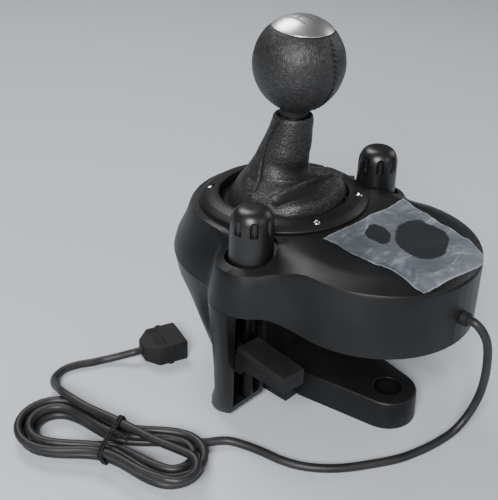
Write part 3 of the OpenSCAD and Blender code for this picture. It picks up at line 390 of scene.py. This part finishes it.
def newPiece(name, mesh, body, finish, stands=(), angle=40):
    if isinstance(mesh, bmesh.types.BMesh):
        mesh = settled(name, mesh)
    mesh.materials.clear()
    mesh.materials.append(finishes[finish])
    mesh.shade_smooth()
    mesh.set_sharp_from_angle(angle=math.radians(angle))
    piece = linked(name, mesh)
    if body:
        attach(piece, body)
    if stands:
        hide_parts(*stands)
    return piece


def tubeCurve(name, paths, radius, sides):
    curve = bpy.data.curves.new(name, "CURVE")
    curve.dimensions = "3D"
    curve.bevel_depth = radius
    curve.bevel_resolution = sides
    curve.use_fill_caps = True
    for path in paths:
        spline = curve.splines.new("POLY")
        spline.points.add(len(path) - 1)
        for knot, p in zip(spline.points, path):
            knot.co = (*p, 1)
    return curve


def tubeMesh(name, paths, radius):  # tubes as a mesh
    holder = linked(name + "Line", tubeCurve(name, paths, radius, 2))
    mesh = evaluated(holder)
    bpy.data.objects.remove(holder)
    return mesh


def neighbours(path, i):  # the points that shape the way from i to the next
    return path[max(0, i - 1)], path[i], path[i + 1], path[min(len(path) - 1, i + 2)]


def rounded(path, steps):  # a smooth run through the points
    made = [path[0]]
    for i in range(len(path) - 1):
        made += [through(*neighbours(path, i), k / steps) for k in range(1, steps + 1)]
    return made


# cord: lead, tied hank and tail
cordSet = {
    "diameter": 4.6,
    "exit": (0, 123.4, 81.3),
    "hankAt": (130.0, 0.6),
    "hankAngle": 113.5,
    "hankRun": 34.0,
    "hankRadius": 20.0,
    "pitch": 5.8,
    "layer": 5.2,
    "climbs": (1.5, 3.5),  # turns after which the cord steps up a layer
    "pinch": 7.5,
    "turns": 3.75,
    "turnBack": 1.75,
    "turnSteps": 56,
    "low": 3.2,
    "floor": 2.4,
    "tailTurn": 10.5,
    "plugAt": (66.8, -48.3, 6.9),
    "plugAngle": 160.0,
}


def hankTo(u, v, z):
    a = math.radians(cordSet["hankAngle"])
    x, y = cordSet["hankAt"]
    return point(x + u * math.cos(a) + v * math.sin(a), y + u * math.sin(a) - v * math.cos(a), z)


def hankWidth(t):
    back = cordSet["turnBack"]
    return cordSet["hankRadius"] - cordSet["pitch"] * (t if t < back else 2 * back - t)


def hankHeight(t):
    return cordSet["low"] + cordSet["layer"] * sum(ease((t - start) * 4) for start in cordSet["climbs"])


def hankPoint(t):
    part = (t - math.floor(t)) * 4
    leg = int(part)
    f = part - leg
    width, z, run = hankWidth(t), hankHeight(t), cordSet["hankRun"]
    if leg in (0, 2):
        u = run * (1 - 2 * f) if leg == 0 else run * (2 * f - 1)
        v = width - cordSet["pinch"] * math.cos(math.pi / 2 * u / run) ** 2
        return hankTo(u, -v if leg == 0 else v, z)
    if leg == 1:
        return hankTo(-run - width * math.sin(math.pi * f), -width * math.cos(math.pi * f), z)
    return hankTo(run + width * math.sin(math.pi * f), width * math.cos(math.pi * f), z)


def plugTo(along):
    a = math.radians(cordSet["plugAngle"])
    x, y, z = cordSet["plugAt"]
    return point(x + along * math.cos(a), y + along * math.sin(a), z)


def cordRoute():
    floor, run, d = cordSet["floor"], cordSet["hankRun"], cordSet["diameter"]
    low, radius, turns = cordSet["low"], cordSet["hankRadius"], cordSet["turns"]
    lead = [
        cordSet["exit"], (0, 127.4, 81.3), (-1.5, 131, 77.5), (-5, 133, 70), (-9.5, 133, 58), (-13.5, 132, 43),
        (-15.5, 130, 28), (-13.5, 127, 14.5), (-6, 124.5, 6.5), (4, 121.5, 3.2), (15, 118.5, floor),
        (29.5, 113.5, floor), (44, 105, floor), (57.5, 95.5, floor), (68, 84, floor), (74, 72, floor),
        (77, 58.5, floor), (80, 48.5, floor + 0.2), (84.7, 39.5, floor + 0.5),
    ]
    lead = [point(*p) for p in lead] + [hankTo(run + 2 * d, -radius, low), hankTo(run + d, -radius, low)]
    count = int(turns * cordSet["turnSteps"])
    hank = [hankPoint(turns * i / count) for i in range(count + 1)]
    width, top, turn = hankWidth(turns), hankHeight(turns), cordSet["tailTurn"]
    tail = [hankTo(run + d, width, top)]
    for i in range(7):
        a = math.radians(30 * i)
        tail.append(hankTo(run + 1.5 * d + turn * math.sin(a), width - turn + turn * math.cos(a), top))
    tail += [
        hankTo(22, -2.5, top), hankTo(0, -8, top), hankTo(-22, -12.5, top), hankTo(-37, -17.5, top),
        hankTo(-46.5, -25, top - 4), hankTo(-54, -33, floor + 2.6), hankTo(-57.5, -41, floor + 0.5),
        hankTo(-56.5, -49, floor), hankTo(-51.5, -55.5, floor), hankTo(-44.5, -61, floor),
        point(86, -62, floor), point(79, -57, 3.8), point(74, -52.3, 5.9), plugTo(-d), plugTo(0),
    ]
    return rounded(lead, 5) + hank + rounded(tail, 5)


def makeCord():
    route = cordRoute()
    length = sum((b - a).length for a, b in zip(route, route[1:]))
    curve = tubeCurve("cord", [route], cordSet["diameter"] / 2 * mm, 4)
    curve.materials.append(finishes["cord"])
    cord = linked("cord", curve)
    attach(cord, "housing")
    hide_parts("cord_lead", "cord_hank", "cord_tail")
    return cord, length


# twist tie round the hank's waist
tieSet = {
    "wire": 0.7, "slack": 0.1, "wraps": (0.0, 1.5), "floor": 0.75, "tailAt": -8.0,
    "twists": 4, "steps": 40, "endAt": (0.8, 2.0, 16.4), "end": 11.0, "drift": 3.0,
    "spread": 0.75, "loose": 0.8, "fan": 4.5, "flat": 0.4,  # the ends part over the last share of their length
}


def strandsAtTie():  # across and up, where the hank's turns and the tail pass under the tie
    spots = []
    for i in range(int(cordSet["turns"] * 2 + 0.75)):
        t = i / 2 + 0.125
        spots.append(((hankWidth(t) - cordSet["pinch"]) * (-1 if i % 2 == 0 else 1), hankHeight(t)))
    return spots + [(tieSet["tailAt"], hankHeight(cordSet["turns"]))]


def twistedEnd(phase):  # one of two ends twisted round each other, laid along the hank
    u, v, z = tieSet["endAt"]
    run = []
    for i in range(tieSet["steps"]):
        t = i / (tieSet["steps"] - 1)
        a = phase + t * tieSet["twists"] * math.pi
        past = max(0, t - tieSet["loose"])
        spread = tieSet["spread"] + tieSet["fan"] * past
        up = spread * math.sin(a) * (1 if t < tieSet["loose"] else tieSet["flat"])
        run.append(hankTo(u + tieSet["end"] * t, v + tieSet["drift"] * t + spread * math.cos(a), z + up))
    return run


def makeTie():
    reach, ring = cordSet["diameter"] / 2 + tieSet["wire"] + tieSet["slack"], []
    for v, z in strandsAtTie():
        for i in range(24):
            a = math.radians(15 * i)
            ring.append((v + reach * math.cos(a), max(tieSet["floor"], z + reach * math.sin(a))))
    loop = [ring[i] for i in geometry.convex_hull_2d([Vector(p) for p in ring])]
    wraps = [[hankTo(u, v, z) for v, z in loop + loop[:2]] for u in tieSet["wraps"]]
    mesh = tubeMesh("tie", [*wraps, twistedEnd(0), twistedEnd(math.pi)], tieSet["wire"] * mm)
    return newPiece("twistTie", mesh, "housing", "rubber", ["cord_tie"])


cord, cordLength = makeCord()
tie = makeTie()
print("cord laid, metres:", round(cordLength, 3))


# CAD nodes that keep their solids
coats = {
    "casing": ["bezel_ring", "tongue_base", "left_knob_bush", "right_knob_bush"],
    "knob": ["left_clamp_knob", "right_clamp_knob", "board_chips"],
    "badge": ["badge_disc"],
    "steel": ["base_screws", "cradle_screws", "gate_plate", "gimbal_pins", "lever_tube", "lever_pin", "lever_shaft",
              "retaining_pin", "plug_shell", "plug_screws"],
    "blackened": ["left_clamp_screw", "right_clamp_screw"],
    "brass": ["left_jaw_nut", "right_jaw_nut"],
    "nylon": ["gimbal_cradle", "gimbal_yoke"],
    "board": ["circuit_board", "shift_sensor", "select_sensor"],
    "rubber": ["table_pads", "left_jaw_pad", "right_jaw_pad", "cord_gland", "boot_collar", "knob_core"],
}
for coat, names in coats.items():
    for mesh in (nodes[name].data for name in names):
        mesh.materials.clear()
        mesh.materials.append(finishes[coat])
print("kept nodes coated")


# moulded pieces: the solid's own faces, merged, with softened edges
mouldedSet = {
    "top_cover": ("topCover", "housing", "casing", "casing", 0.5),
    "lower_housing": ("lowerHousing", "housing", "casing", "casing", 0.4),
    "centre_foot": ("centreFoot", "housing", "casing", "casing", 0.5),
    "left_jaw": ("leftJaw", "left_clamp", "jaw", "casing", 0.4),
    "right_jaw": ("rightJaw", "right_clamp", "jaw", "casing", 0.4),
    "plug_hood": ("plugHood", "housing", "rubber", "rubber", 0.35),
    "plug_cover": ("plugCover", "housing", "rubber", "rubber", 0.5),
    "knob_cap": ("knobCap", "stick", "cap", "cap", 0.3),
}
mouldedAngles = {"flat": 0.6, "edge": 38.0}  # degrees: faces merged below one, edges softened above the other


def moulded(node, name, body, finish, slot, edge):
    mesh = bmesh.new()
    mesh.from_mesh(nodes[node].data)
    bmesh.ops.remove_doubles(mesh, verts=mesh.verts, dist=2e-6)
    flat = math.radians(mouldedAngles["flat"])
    bmesh.ops.dissolve_limit(mesh, angle_limit=flat, verts=mesh.verts, edges=mesh.edges)
    piece = newPiece(name, mesh, body, finish, [node], mouldedAngles["edge"])
    soft = piece.modifiers.new("softEdge", "BEVEL")
    soft.width = edge * mm
    soft.segments = 3
    soft.limit_method = "ANGLE"
    soft.angle_limit = math.radians(mouldedAngles["edge"])
    soft.harden_normals = True
    return piece


moulds = {node: moulded(node, *how) for node, how in mouldedSet.items()}
print("moulded pieces:", len(moulds))


def spunLine(spots, steps, near):  # a line of points turned into a round shell
    mesh = bmesh.new()
    line = [mesh.verts.new(p) for p in spots]
    edges = [mesh.edges.new(pair) for pair in zip(line, line[1:])]
    bmesh.ops.spin(mesh, geom=line + edges, cent=(0, 0, 0), axis=(0, 0, 1), angle=2 * math.pi, steps=steps,
                   use_merge=True)
    bmesh.ops.remove_doubles(mesh, verts=mesh.verts, dist=near)
    return mesh


# bezel screws with a cross recess
screwSet = {
    "ring": 41.8, "count": 6, "start": 5, "seat": 109.2, "rake": 2.8, "hinge": (0, 47.2, 107.0),
    "head": 2.4, "high": 2.0, "shank": 1.4, "shankLong": 6.5,
    "dome": [(0.0, 1.0), (0.35, 0.98), (0.68, 0.86), (0.9, 0.58), (1.0, 0.22), (1.0, 0.0)],  # shares of head and high
    "slot": 0.55, "slotLong": 1.45, "deep": 0.9, "turn": 0.4, "turnEach": 0.9,
}


def screwHead():
    r, h, shank, end = (screwSet[key] * mm for key in ("head", "high", "shank", "shankLong"))
    outline = [(r * x, h * z) for x, z in screwSet["dome"]] + [(shank, 0.0), (shank, -end), (0.0, -end)]
    mesh = spunLine([(x, 0, z) for x, z in outline], 32, 1e-6)
    bmesh.ops.recalc_face_normals(mesh, faces=mesh.faces)
    return mesh


def crossCut():
    mesh = bmesh.new()
    wide, reach, deep, top = (screwSet[key] * mm for key in ("slot", "slotLong", "deep", "high"))
    for turn in (0, math.pi / 2):
        bar = bmesh.ops.create_cube(mesh, size=1.0)["verts"]
        bmesh.ops.scale(mesh, vec=(2 * reach, wide, deep * 2), verts=bar)
        bmesh.ops.scale(mesh, vec=(0.35, 0.7, 1), verts=[v for v in bar if v.co.z < 0])  # narrower below
        bmesh.ops.rotate(mesh, matrix=Matrix.Rotation(turn, 3, "Z"), verts=bar)
        bmesh.ops.translate(mesh, vec=(0, 0, top), verts=bar)
    return mesh


def oneScrew():
    head = linked("screwBlank", settled("screwBlank", screwHead()))
    cutter = linked("crossCutter", settled("crossCutter", crossCut()))
    cut = head.modifiers.new("recess", "BOOLEAN")
    cut.object, cut.operation, cut.solver, cut.use_self = cutter, "DIFFERENCE", "EXACT", True
    mesh = evaluated(head)
    bpy.data.objects.remove(head)
    bpy.data.objects.remove(cutter)
    return mesh


def makeScrews():
    one = oneScrew()
    hinge = point(*screwSet["hinge"])
    rake = Matrix.Translation(hinge) @ Matrix.Rotation(math.radians(screwSet["rake"]), 4, "X")
    rake = rake @ Matrix.Translation(-hinge)
    mesh = bmesh.new()
    for i in range(screwSet["count"]):
        a = math.radians(screwSet["start"] + 360 / screwSet["count"] * i)
        place = point(screwSet["ring"] * math.cos(a), screwSet["ring"] * math.sin(a), screwSet["seat"])
        turn = Matrix.Rotation(screwSet["turnEach"] * i + screwSet["turn"], 4, "Z")
        start = len(mesh.verts)
        mesh.from_mesh(one)
        mesh.verts.ensure_lookup_table()
        bmesh.ops.transform(mesh, verts=mesh.verts[start:], matrix=rake @ Matrix.Translation(place) @ turn)
    newPiece("bezelScrews", mesh, "housing", "screw", ["bezel_screws"], 35)


makeScrews()
print("screws set")


# lever ball: stitched hide over the core
ballSet = {
    "rise": 99.5, "radius": 24.4, "top": 41.6, "bottom": 158.0, "stretch": 1.06, "around": 320, "down": 132,
    "hemTop": [(1.3, -0.2), (0.5, -0.5), (0.12, 0.1)], "hemStart": 0.9,  # how far in, and degrees from the top
    "hemBottom": [(0.4, 1.2), (1.2, 1.3)],
    "sag": [(0.16, 170), (0.1, 420)],  # depth and fineness
    "seam": 88.0, "groove": 0.4, "grooveWide": 0.5, "puff": 0.14, "puffAt": 2.3, "puffWide": 1.2,
    "stitches": 15, "stitchRun": (52, 146), "thread": 0.5, "slant": 0.35,
    "crossLong": 4.6, "crossSunk": 0.12, "seamLong": 3.0, "seamSunk": 0.3, "seamDown": 3.2,
}
ballCentre = point(0, 0, ballSet["rise"])


def ballSpot(sunk, polar, azimuth=ballSet["seam"]):  # degrees, in the lever's frame
    r, p, a = ballSet["radius"] - sunk, math.radians(polar), math.radians(azimuth)
    drop = math.cos(p) * (ballSet["stretch"] if polar > 90 else 1.0)
    return point(r * math.sin(p) * math.cos(a), r * math.sin(p) * math.sin(a), ballSet["rise"] + r * drop)


def seamDepth(across):  # across the seam, millimetres
    puff = ballSet["puff"] * bell(abs(across) - ballSet["puffAt"], ballSet["puffWide"])
    return puff - ballSet["groove"] * bell(across, ballSet["grooveWide"])


def fromSeam(out):  # angle round from the seam, from minus pi to pi
    seam = math.radians(ballSet["seam"])
    ahead = out.x * math.cos(seam) + out.y * math.sin(seam)
    return math.atan2(out.y * math.cos(seam) - out.x * math.sin(seam), ahead)


def unrollBall(mesh):  # round from the seam, and down
    layer = mesh.loops.layers.uv.new("around")
    for face in mesh.faces:
        spots = []
        for loop in face.loops:
            out = loop.vert.co - ballCentre
            u = (fromSeam(out) / (2 * math.pi)) % 1
            spots.append([u, math.acos(max(-1, min(1, out.z / out.length))) / math.pi])
        if max(s[0] for s in spots) - min(s[0] for s in spots) > 0.5:  # a face over the seam
            for s in spots:
                s[0] += 1 if s[0] < 0.5 else 0
        for loop, s in zip(face.loops, spots):
            loop[layer].uv = s


def makeBall():
    low, high, n = ballSet["top"], ballSet["bottom"], ballSet["down"]
    outline = [(sunk, low + down) for sunk, down in ballSet["hemTop"]]
    outline += [(0, lerp(low + ballSet["hemStart"], high, i / n)) for i in range(n + 1)]
    outline += [(sunk, high + down) for sunk, down in ballSet["hemBottom"]]
    mesh = spunLine([ballSpot(*spot) for spot in outline], ballSet["around"], 1e-7)
    for v in mesh.verts:
        out = v.co - ballCentre
        across = fromSeam(out) * math.hypot(out.x, out.y) / mm
        sag = sum(deep * noise.noise(v.co * fine) for deep, fine in ballSet["sag"])
        v.co += out.normalized() * (seamDepth(across) + sag) * mm
    unrollBall(mesh)
    bmesh.ops.transform(mesh, matrix=leanFrame, verts=mesh.verts)
    bmesh.ops.recalc_face_normals(mesh, faces=mesh.faces)
    newPiece("ballHide", mesh, "stick", "hide", ["knob_leather"], 60)


def stitch(mesh, middle, along, out, length, thick):
    bead = bmesh.ops.create_uvsphere(mesh, u_segments=8, v_segments=6, radius=1.0)["verts"]
    side = out.cross(along).normalized()
    axes = Matrix((along.normalized() * length / 2, side * thick, out.normalized() * thick)).transposed().to_4x4()
    bmesh.ops.transform(mesh, verts=bead, matrix=Matrix.Translation(middle) @ axes)


def makeBallStitches():
    mesh = bmesh.new()
    thread = ballSet["thread"] * mm
    for i in range(ballSet["stitches"]):
        polar = lerp(*ballSet["stitchRun"], i / (ballSet["stitches"] - 1))
        spot = ballSpot(ballSet["crossSunk"], polar)
        out = (spot - ballCentre).normalized()
        down = (ballSpot(0, polar + 1) - spot).normalized()
        across = out.cross(down).normalized()
        stitch(mesh, spot, across + down * ballSet["slant"], out, ballSet["crossLong"] * mm, thread)
        lower = ballSpot(ballSet["seamSunk"], polar + ballSet["seamDown"])
        stitch(mesh, lower, down, out, ballSet["seamLong"] * mm, thread * 0.8)
    bmesh.ops.transform(mesh, matrix=leanFrame, verts=mesh.verts)
    newPiece("ballStitches", mesh, "stick", "thread", (), 60)


makeBall()
makeBallStitches()
print("ball covered and stitched")


# boot: gathered hide from the bezel to the lever's collar, cut level into two pieces
bootSet = {
    "deck": 107.0, "rake": 2.8, "bezel": 47.2, "around": 180, "steps": 6,
    "foot": 109.0, "cut": 119.0, "neck": 140.0, "lap": 0.2,  # the boot is parted in two at the cut height
    "hemFoot": 108.0, "hemTop": 155.5, "hemFade": 4.0,
    "foldWay": (-0.68, 0.73), "foldAngle": 133.0, "foldSpread": 40.0,
    "dipAngle": 185.0, "dipSpread": 35.0, "dip": 8.5, "tuckAngle": 313.0, "tuckSpread": 55.0, "tuck": 2.2,
    "levels": [  # height over the deck, radius, shift along the fold's way, bulge of the fold
        (-2.8, 37.2, 0, 0), (-2.6, 34.8, 0.2, 0), (0.4, 34.0, 0.5, 0), (2.4, 33.6, 0.6, 0), (5, 33, 0.8, 0.5),
        (9, 30.2, 0.8, 2.4), (12, 24.5, -2.4, 10), (15.5, 18.5, -4.8, 15.8), (17.6, 16.6, -5.6, 13.8),
        (18.6, 16.2, -5.8, 2.4), (24, 14.8, -4.2, 0.3), (32, 13.4, -2.2, 0), (44.5, 11.3, -0.2, 0),
        (47.1, 10.9, -0.2, 0), (48.3, 10.3, 0, 0), (48.5, 9.6, 0, 0), (47.7, 8.9, 0, 0), (45, 8.7, 0, 0),
    ],
    "seam": [
        (11.1, 3.0, 154.3), (11.8, 0.5, 149.8), (12.8, -1.0, 145.2), (14.6, -2.3, 138.6), (16.7, -2.0, 133.0),
        (19.1, -1.1, 127.1), (21.0, 0.1, 122.2), (26.0, 1.2, 117.6), (28.5, -1.4, 112.2),
    ],
    "groove": 0.5, "grooveWide": 0.7, "puff": 0.12, "puffAt": 1.8, "puffWide": 1.0,
    "folds": [  # line, sink, width, share of it at each end
        ([(17.5, 1.5, 131.1), (15.2, 7.8, 130.4), (9.9, 12.8, 128.6), (2.4, 14.9, 125.3), (-2.3, 18.7, 124.2)],
         3.0, 3.6, (0.3, 1.2)),
        ([(-4.0, 22.9, 123.8), (6.0, 19.4, 122.2), (14.0, 16.9, 120.3), (21.4, 14.1, 118.1)],
         -2.6, 2.4, (1.0, 0.5)),
        ([(-13.6, 23.4, 123.5), (-3.2, 24.2, 122.9), (4.1, 22.9, 120.7), (10.9, 20.6, 119.5), (16.8, 18.9, 118.2),
          (24.5, 16.3, 115.8)], 5.2, 2.1, (0.6, 0.5)),
        ([(-12.9, 29.9, 117.6), (-1.6, 30.3, 117.2), (8.9, 29.8, 115.9), (17.4, 26.7, 114.7)],
         -1.2, 3.4, (1.0, 0.8)),
    ],
    "paintedShade": 3.0,  # sink at which the painted shade in a fold is darkest
}
bootLevels = [Vector(level) for level in bootSet["levels"]]
bootSeam = [Vector(p) for p in bootSet["seam"]]
bootFolds = [([Vector(p) for p in line], *how) for line, *how in bootSet["folds"]]


def bootLevel(t):  # t runs over the levels
    i = min(int(t), len(bootLevels) - 2)
    return through(*neighbours(bootLevels, i), t - i)


def bootMiddle(level):
    fx, fy = bootSet["foldWay"]
    z = bootSet["deck"] + level[0]
    lean = math.tan(math.radians(leverSet["lean"])) * min(1, level[0] / 12)
    return Vector((level[2] * fx, (z - leverSet["pivot"]) * lean + level[2] * fy, z))


def nearAngle(azimuth, name):  # 1 at the named angle, fading over its spread
    return bell(math.degrees(azimuth) % 360 - bootSet[name + "Angle"], bootSet[name + "Spread"])


def bootSpot(level, azimuth):
    middle, high = bootMiddle(level), level[0]
    r = level[1] + level[3] * nearAngle(azimuth, "fold")
    r -= bootSet["tuck"] * nearAngle(azimuth, "tuck") * ease((high + 2.6) / 3) * (1 - ease((high - 5) / 9))
    fall = math.tan(math.radians(bootSet["rake"])) * max(0, bootSet["bezel"] - r * math.sin(azimuth))
    fall *= 1 - ease(high / 32)
    fall += bootSet["dip"] * nearAngle(azimuth, "dip") * ease((high - 6) / 8) * (1 - ease((high - 20) / 7))
    return middle + Vector((r * math.cos(azimuth), r * math.sin(azimuth), -fall))


def alongLine(p, line):  # distance from the line and the share of the way along it
    best = (1e9, 0)
    for i, (a, b) in enumerate(zip(line, line[1:])):
        d = b - a
        t = max(0, min(1, (p - a).dot(d) / d.length_squared))
        best = min(best, ((p - a - d * t).length, (i + t) / (len(line) - 1)))
    return best


def foldSinks(p):  # how far each fold sinks a point, millimetres
    sinks = []
    for line, deep, wide, ends in bootFolds:
        d, t = alongLine(p, line)
        sinks.append(deep * lerp(*ends, t) * bell(d, wide))
    return sinks


def bootShell():
    mesh = bmesh.new()
    n, steps = bootSet["around"], bootSet["steps"]
    ring = [mesh.verts.new(bootSpot(bootLevel(0), 2 * math.pi * i / n)) for i in range(n)]
    edges = [mesh.edges.new((ring[i], ring[(i + 1) % n])) for i in range(n)]
    for k in range(1, (len(bootLevels) - 1) * steps + 1):
        level, middle = bootLevel(k / steps), bootMiddle(bootLevel((k - 1) / steps))
        grown = bmesh.ops.extrude_edge_only(mesh, edges=edges)["geom"]
        edges = [g for g in grown if isinstance(g, bmesh.types.BMEdge)]
        for v in {v for e in edges for v in e.verts}:  # keeps the azimuth of the vertex below
            v.co = bootSpot(level, math.atan2(v.co.y - middle.y, v.co.x - middle.x))
    bmesh.ops.recalc_face_normals(mesh, faces=mesh.faces)
    mesh.normal_update()
    return mesh


def gatherBoot(mesh):  # folds, seam and creases, along the shell's normals
    # the fold attribute holds painted shade for the folds and the seam groove
    fold = mesh.verts.layers.float.new("fold")
    outward = [v.normal.copy() for v in mesh.verts]
    for v, out in zip(mesh.verts, outward):
        x, y, z = v.co
        sinks, seamGap = foldSinks(v.co), alongLine(v.co, bootSeam)[0]
        groove = bell(seamGap, bootSet["grooveWide"])
        puff = bell(seamGap - bootSet["puffAt"], bootSet["puffWide"])
        # painted shade: the deep folds and the seam groove are darkened
        v[fold] = min(1, sum(s for s in sinks if s > 0) / bootSet["paintedShade"] + groove)
        crease = 0.22 * noise.noise(Vector((x * 0.13, y * 0.13, z * 0.3)))
        crease += 0.45 * noise.noise(Vector((x * 0.05, y * 0.05, z * 0.1 + 4)))
        hem = ease((z - bootSet["hemFoot"]) / bootSet["hemFade"]) * ease((bootSet["hemTop"] - z) / bootSet["hemFade"])
        v.co += out * (crease - sum(sinks) - bootSet["groove"] * groove + bootSet["puff"] * puff) * hem


def makeBoot():
    mesh = bootShell()
    gatherBoot(mesh)
    everything = [*mesh.verts, *mesh.edges, *mesh.faces]
    bmesh.ops.bisect_plane(mesh, geom=everything, dist=1e-4, plane_co=(0, 0, bootSet["cut"]), plane_no=(0, 0, 1))
    bmesh.ops.scale(mesh, vec=(mm, mm, mm), verts=mesh.verts)
    mesh.normal_update()
    facing = mesh.verts.layers.float_vector.new("facing")
    for v in mesh.verts:
        v[facing] = v.normal
    return mesh


def bootPiece(name, mesh, above):  # the part of the boot above or below the cut
    away = [f for f in mesh.faces if (f.calc_center_median().z > bootSet["cut"] * mm) != above]
    bmesh.ops.delete(mesh, geom=away, context="FACES")
    facing = mesh.verts.layers.float_vector["facing"]
    normals = [v[facing].copy() for v in mesh.verts]
    mesh.verts.layers.float_vector.remove(facing)
    piece = newPiece(name, mesh, None, "boot", (), 180)
    piece.data.normals_split_custom_set_from_vertices(normals)
    return piece


whole = makeBoot()
bootSkin = BVHTree.FromBMesh(whole)
skirt = bootPiece("bootSkirt", whole.copy(), False)
sleeve = bootPiece("bootSleeve", whole, True)
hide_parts("boot")
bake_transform(skirt)
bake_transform(sleeve)
print("boot gathered")


# stitches along the boot's seam
seamSet = {"first": 1.2, "gap": 3.2, "long": 2.2, "thread": 0.36, "proud": 0.1}


def makeBootStitches(name, above):
    mesh = bmesh.new()
    line = rounded(bootSeam, 12)
    walked, due = 0.0, seamSet["first"]
    for a, b in zip(line, line[1:]):
        walked += (b - a).length
        if walked < due:
            continue
        due = walked + seamSet["gap"]
        if (a.z >= bootSet["cut"]) == above:
            spot, out = bootSkin.find_nearest(a * mm)[:2]
            spot += out * seamSet["proud"] * mm
            stitch(mesh, spot, (b - a).normalized(), out, seamSet["long"] * mm, seamSet["thread"] * mm)
    piece = newPiece(name, mesh, None, "thread", (), 60)
    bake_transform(piece)


makeBootStitches("skirtStitches", False)
makeBootStitches("sleeveStitches", True)
print("boot stitched")


# springs inside
springSet = {
    "press": {
        "radius": 3.6, "wire": 0.6, "low": 9.9, "high": 20.1, "turns": 6, "upright": True, "body": "lever",
    },
    "centring": {
        "radius": 3.9, "wire": 0.5, "low": 17.9, "high": 21.9, "turns": 3, "upright": False, "body": "gimbal",
    },
    "seat": 9.4, "keep": 0.62, "turnSteps": 28,
}


def makeSpring(name):
    how, run = springSet[name], []
    count = how["turns"] * springSet["turnSteps"]
    for i in range(count + 1):
        t = i / count
        a = 2 * math.pi * how["turns"] * t
        x, y, z = how["radius"] * math.cos(a), how["radius"] * math.sin(a), lerp(how["low"], how["high"], t)
        run.append(leanFrame @ point(*((x, y, z) if how["upright"] else (x, z, -y))))
    mesh = tubeMesh(name, [run], how["wire"] * mm)
    return newPiece(name + "Spring", mesh, how["body"], "steel", [name + "_spring"])


press = makeSpring("press")
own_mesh(press)
makeSpring("centring")
print("springs wound")


# loose clear film over the round badge
filmSet = {
    "corners": [(28, 50.5), (-38.5, 54), (-21, 119.5), (30, 113)], "cells": 56, "flat": (0.065, 0.065),
    "deck": 107.0, "tongueY": 65.4, "tongueR": 55.0, "band": 10.5, "fall": 3.6,  # the cover's top under it
    "lift": 0.8, "wave": 1.1, "fine": 0.9, "curl": 1.6, "curlFrom": 0.8,
}


def deckHeight(x, y):
    r = math.hypot(x, y - filmSet["tongueY"]) if y > filmSet["tongueY"] else abs(x)
    return filmSet["deck"] - filmSet["fall"] * ease((r - filmSet["tongueR"] + filmSet["band"]) / filmSet["band"])


def makeFilm():
    mesh = bmesh.new()
    bmesh.ops.create_grid(mesh, x_segments=filmSet["cells"], y_segments=filmSet["cells"], size=0.5)
    a, b, c, d = (Vector(p) for p in filmSet["corners"])
    layer = mesh.loops.layers.uv.new("sheet")
    for face in mesh.faces:
        for loop in face.loops:
            loop[layer].uv = (loop.vert.co.x + 0.5, loop.vert.co.y + 0.5)
    for v in mesh.verts:
        s, t = v.co.x + 0.5, v.co.y + 0.5
        flat = (a * (1 - s) + b * s) * (1 - t) + (d * (1 - s) + c * s) * t
        wave = 0.5 + 0.5 * noise.noise(Vector((flat.x * 0.06, flat.y * 0.09, 2)))
        fine = abs(noise.noise(Vector((flat.x * 0.16, flat.y * 0.13, 7))))
        edge = max(abs(s - 0.5), abs(t - 0.5)) * 2  # 0 in the middle, 1 at the rim
        curl = filmSet["curl"] * ease((edge - filmSet["curlFrom"]) / (1 - filmSet["curlFrom"])) * wave
        rise = filmSet["lift"] + (filmSet["wave"] * wave + filmSet["fine"] * fine) * edge + curl
        v.co = point(flat.x, flat.y, deckHeight(flat.x, flat.y) + rise)
    bmesh.ops.recalc_face_normals(mesh, faces=mesh.faces)
    return newPiece("clearFilm", mesh, "housing", "film", (), 60)


film = makeFilm()
print("film laid")


# floor and light
stageSet = {
    "floor": (0.5, 0.53, 0.57),
    "floorHalf": 6.0,
    "floorDrop": 0.0002,
    "lights": [  # name, place, size, power
        ("keyLight", (0.9, 0.53, 0.8), 0.5, 25.0),
        ("fillLight", (-0.15, 1.3, 0.7), 0.6, 3.0),
        ("topLight", (-0.2, -0.72, 1.15), 0.7, 12.0),
        ("backLight", (-1.1, 0.3, 0.6), 0.6, 2.5),
    ],
    "aim": (0.02, 0.03, 0.09),
    "sky": (0.9, 0.94, 1.0, 1.0),
    "skyPower": 0.12,
}


def makeFloor():
    mesh = bmesh.new()
    bmesh.ops.create_grid(mesh, x_segments=1, y_segments=1, size=stageSet["floorHalf"])
    bmesh.ops.translate(mesh, vec=(0, 0, -stageSet["floorDrop"]), verts=mesh.verts)
    made, pale = Finish("paleFloor", {"Roughness": 0.7}), stageSet["floor"]
    made.feed("Base Color", made.blend(made.noise(3, 3), tuple(c * 0.97 for c in pale), pale))
    floor = linked("floor", settled("floor", mesh))
    floor.data.materials.append(made.material)


def makeLights():
    for name, place, size, power in stageSet["lights"]:
        lamp = bpy.data.lights.new(name, "AREA")
        lamp.shape, lamp.size, lamp.energy = "DISK", size, power
        holder = linked(name, lamp)
        holder.location = place
        holder.rotation_euler = (Vector(stageSet["aim"]) - Vector(place)).to_track_quat("-Z", "Y").to_euler()
    sky = bpy.data.worlds.new("paleSky")
    sky.use_nodes = True
    colour, power = sky.node_tree.nodes["Background"].inputs[:2]
    colour.default_value = stageSet["sky"]
    power.default_value = stageSet["skyPower"]
    bpy.context.scene.world = sky


makeFloor()
makeLights()
print("stage set")
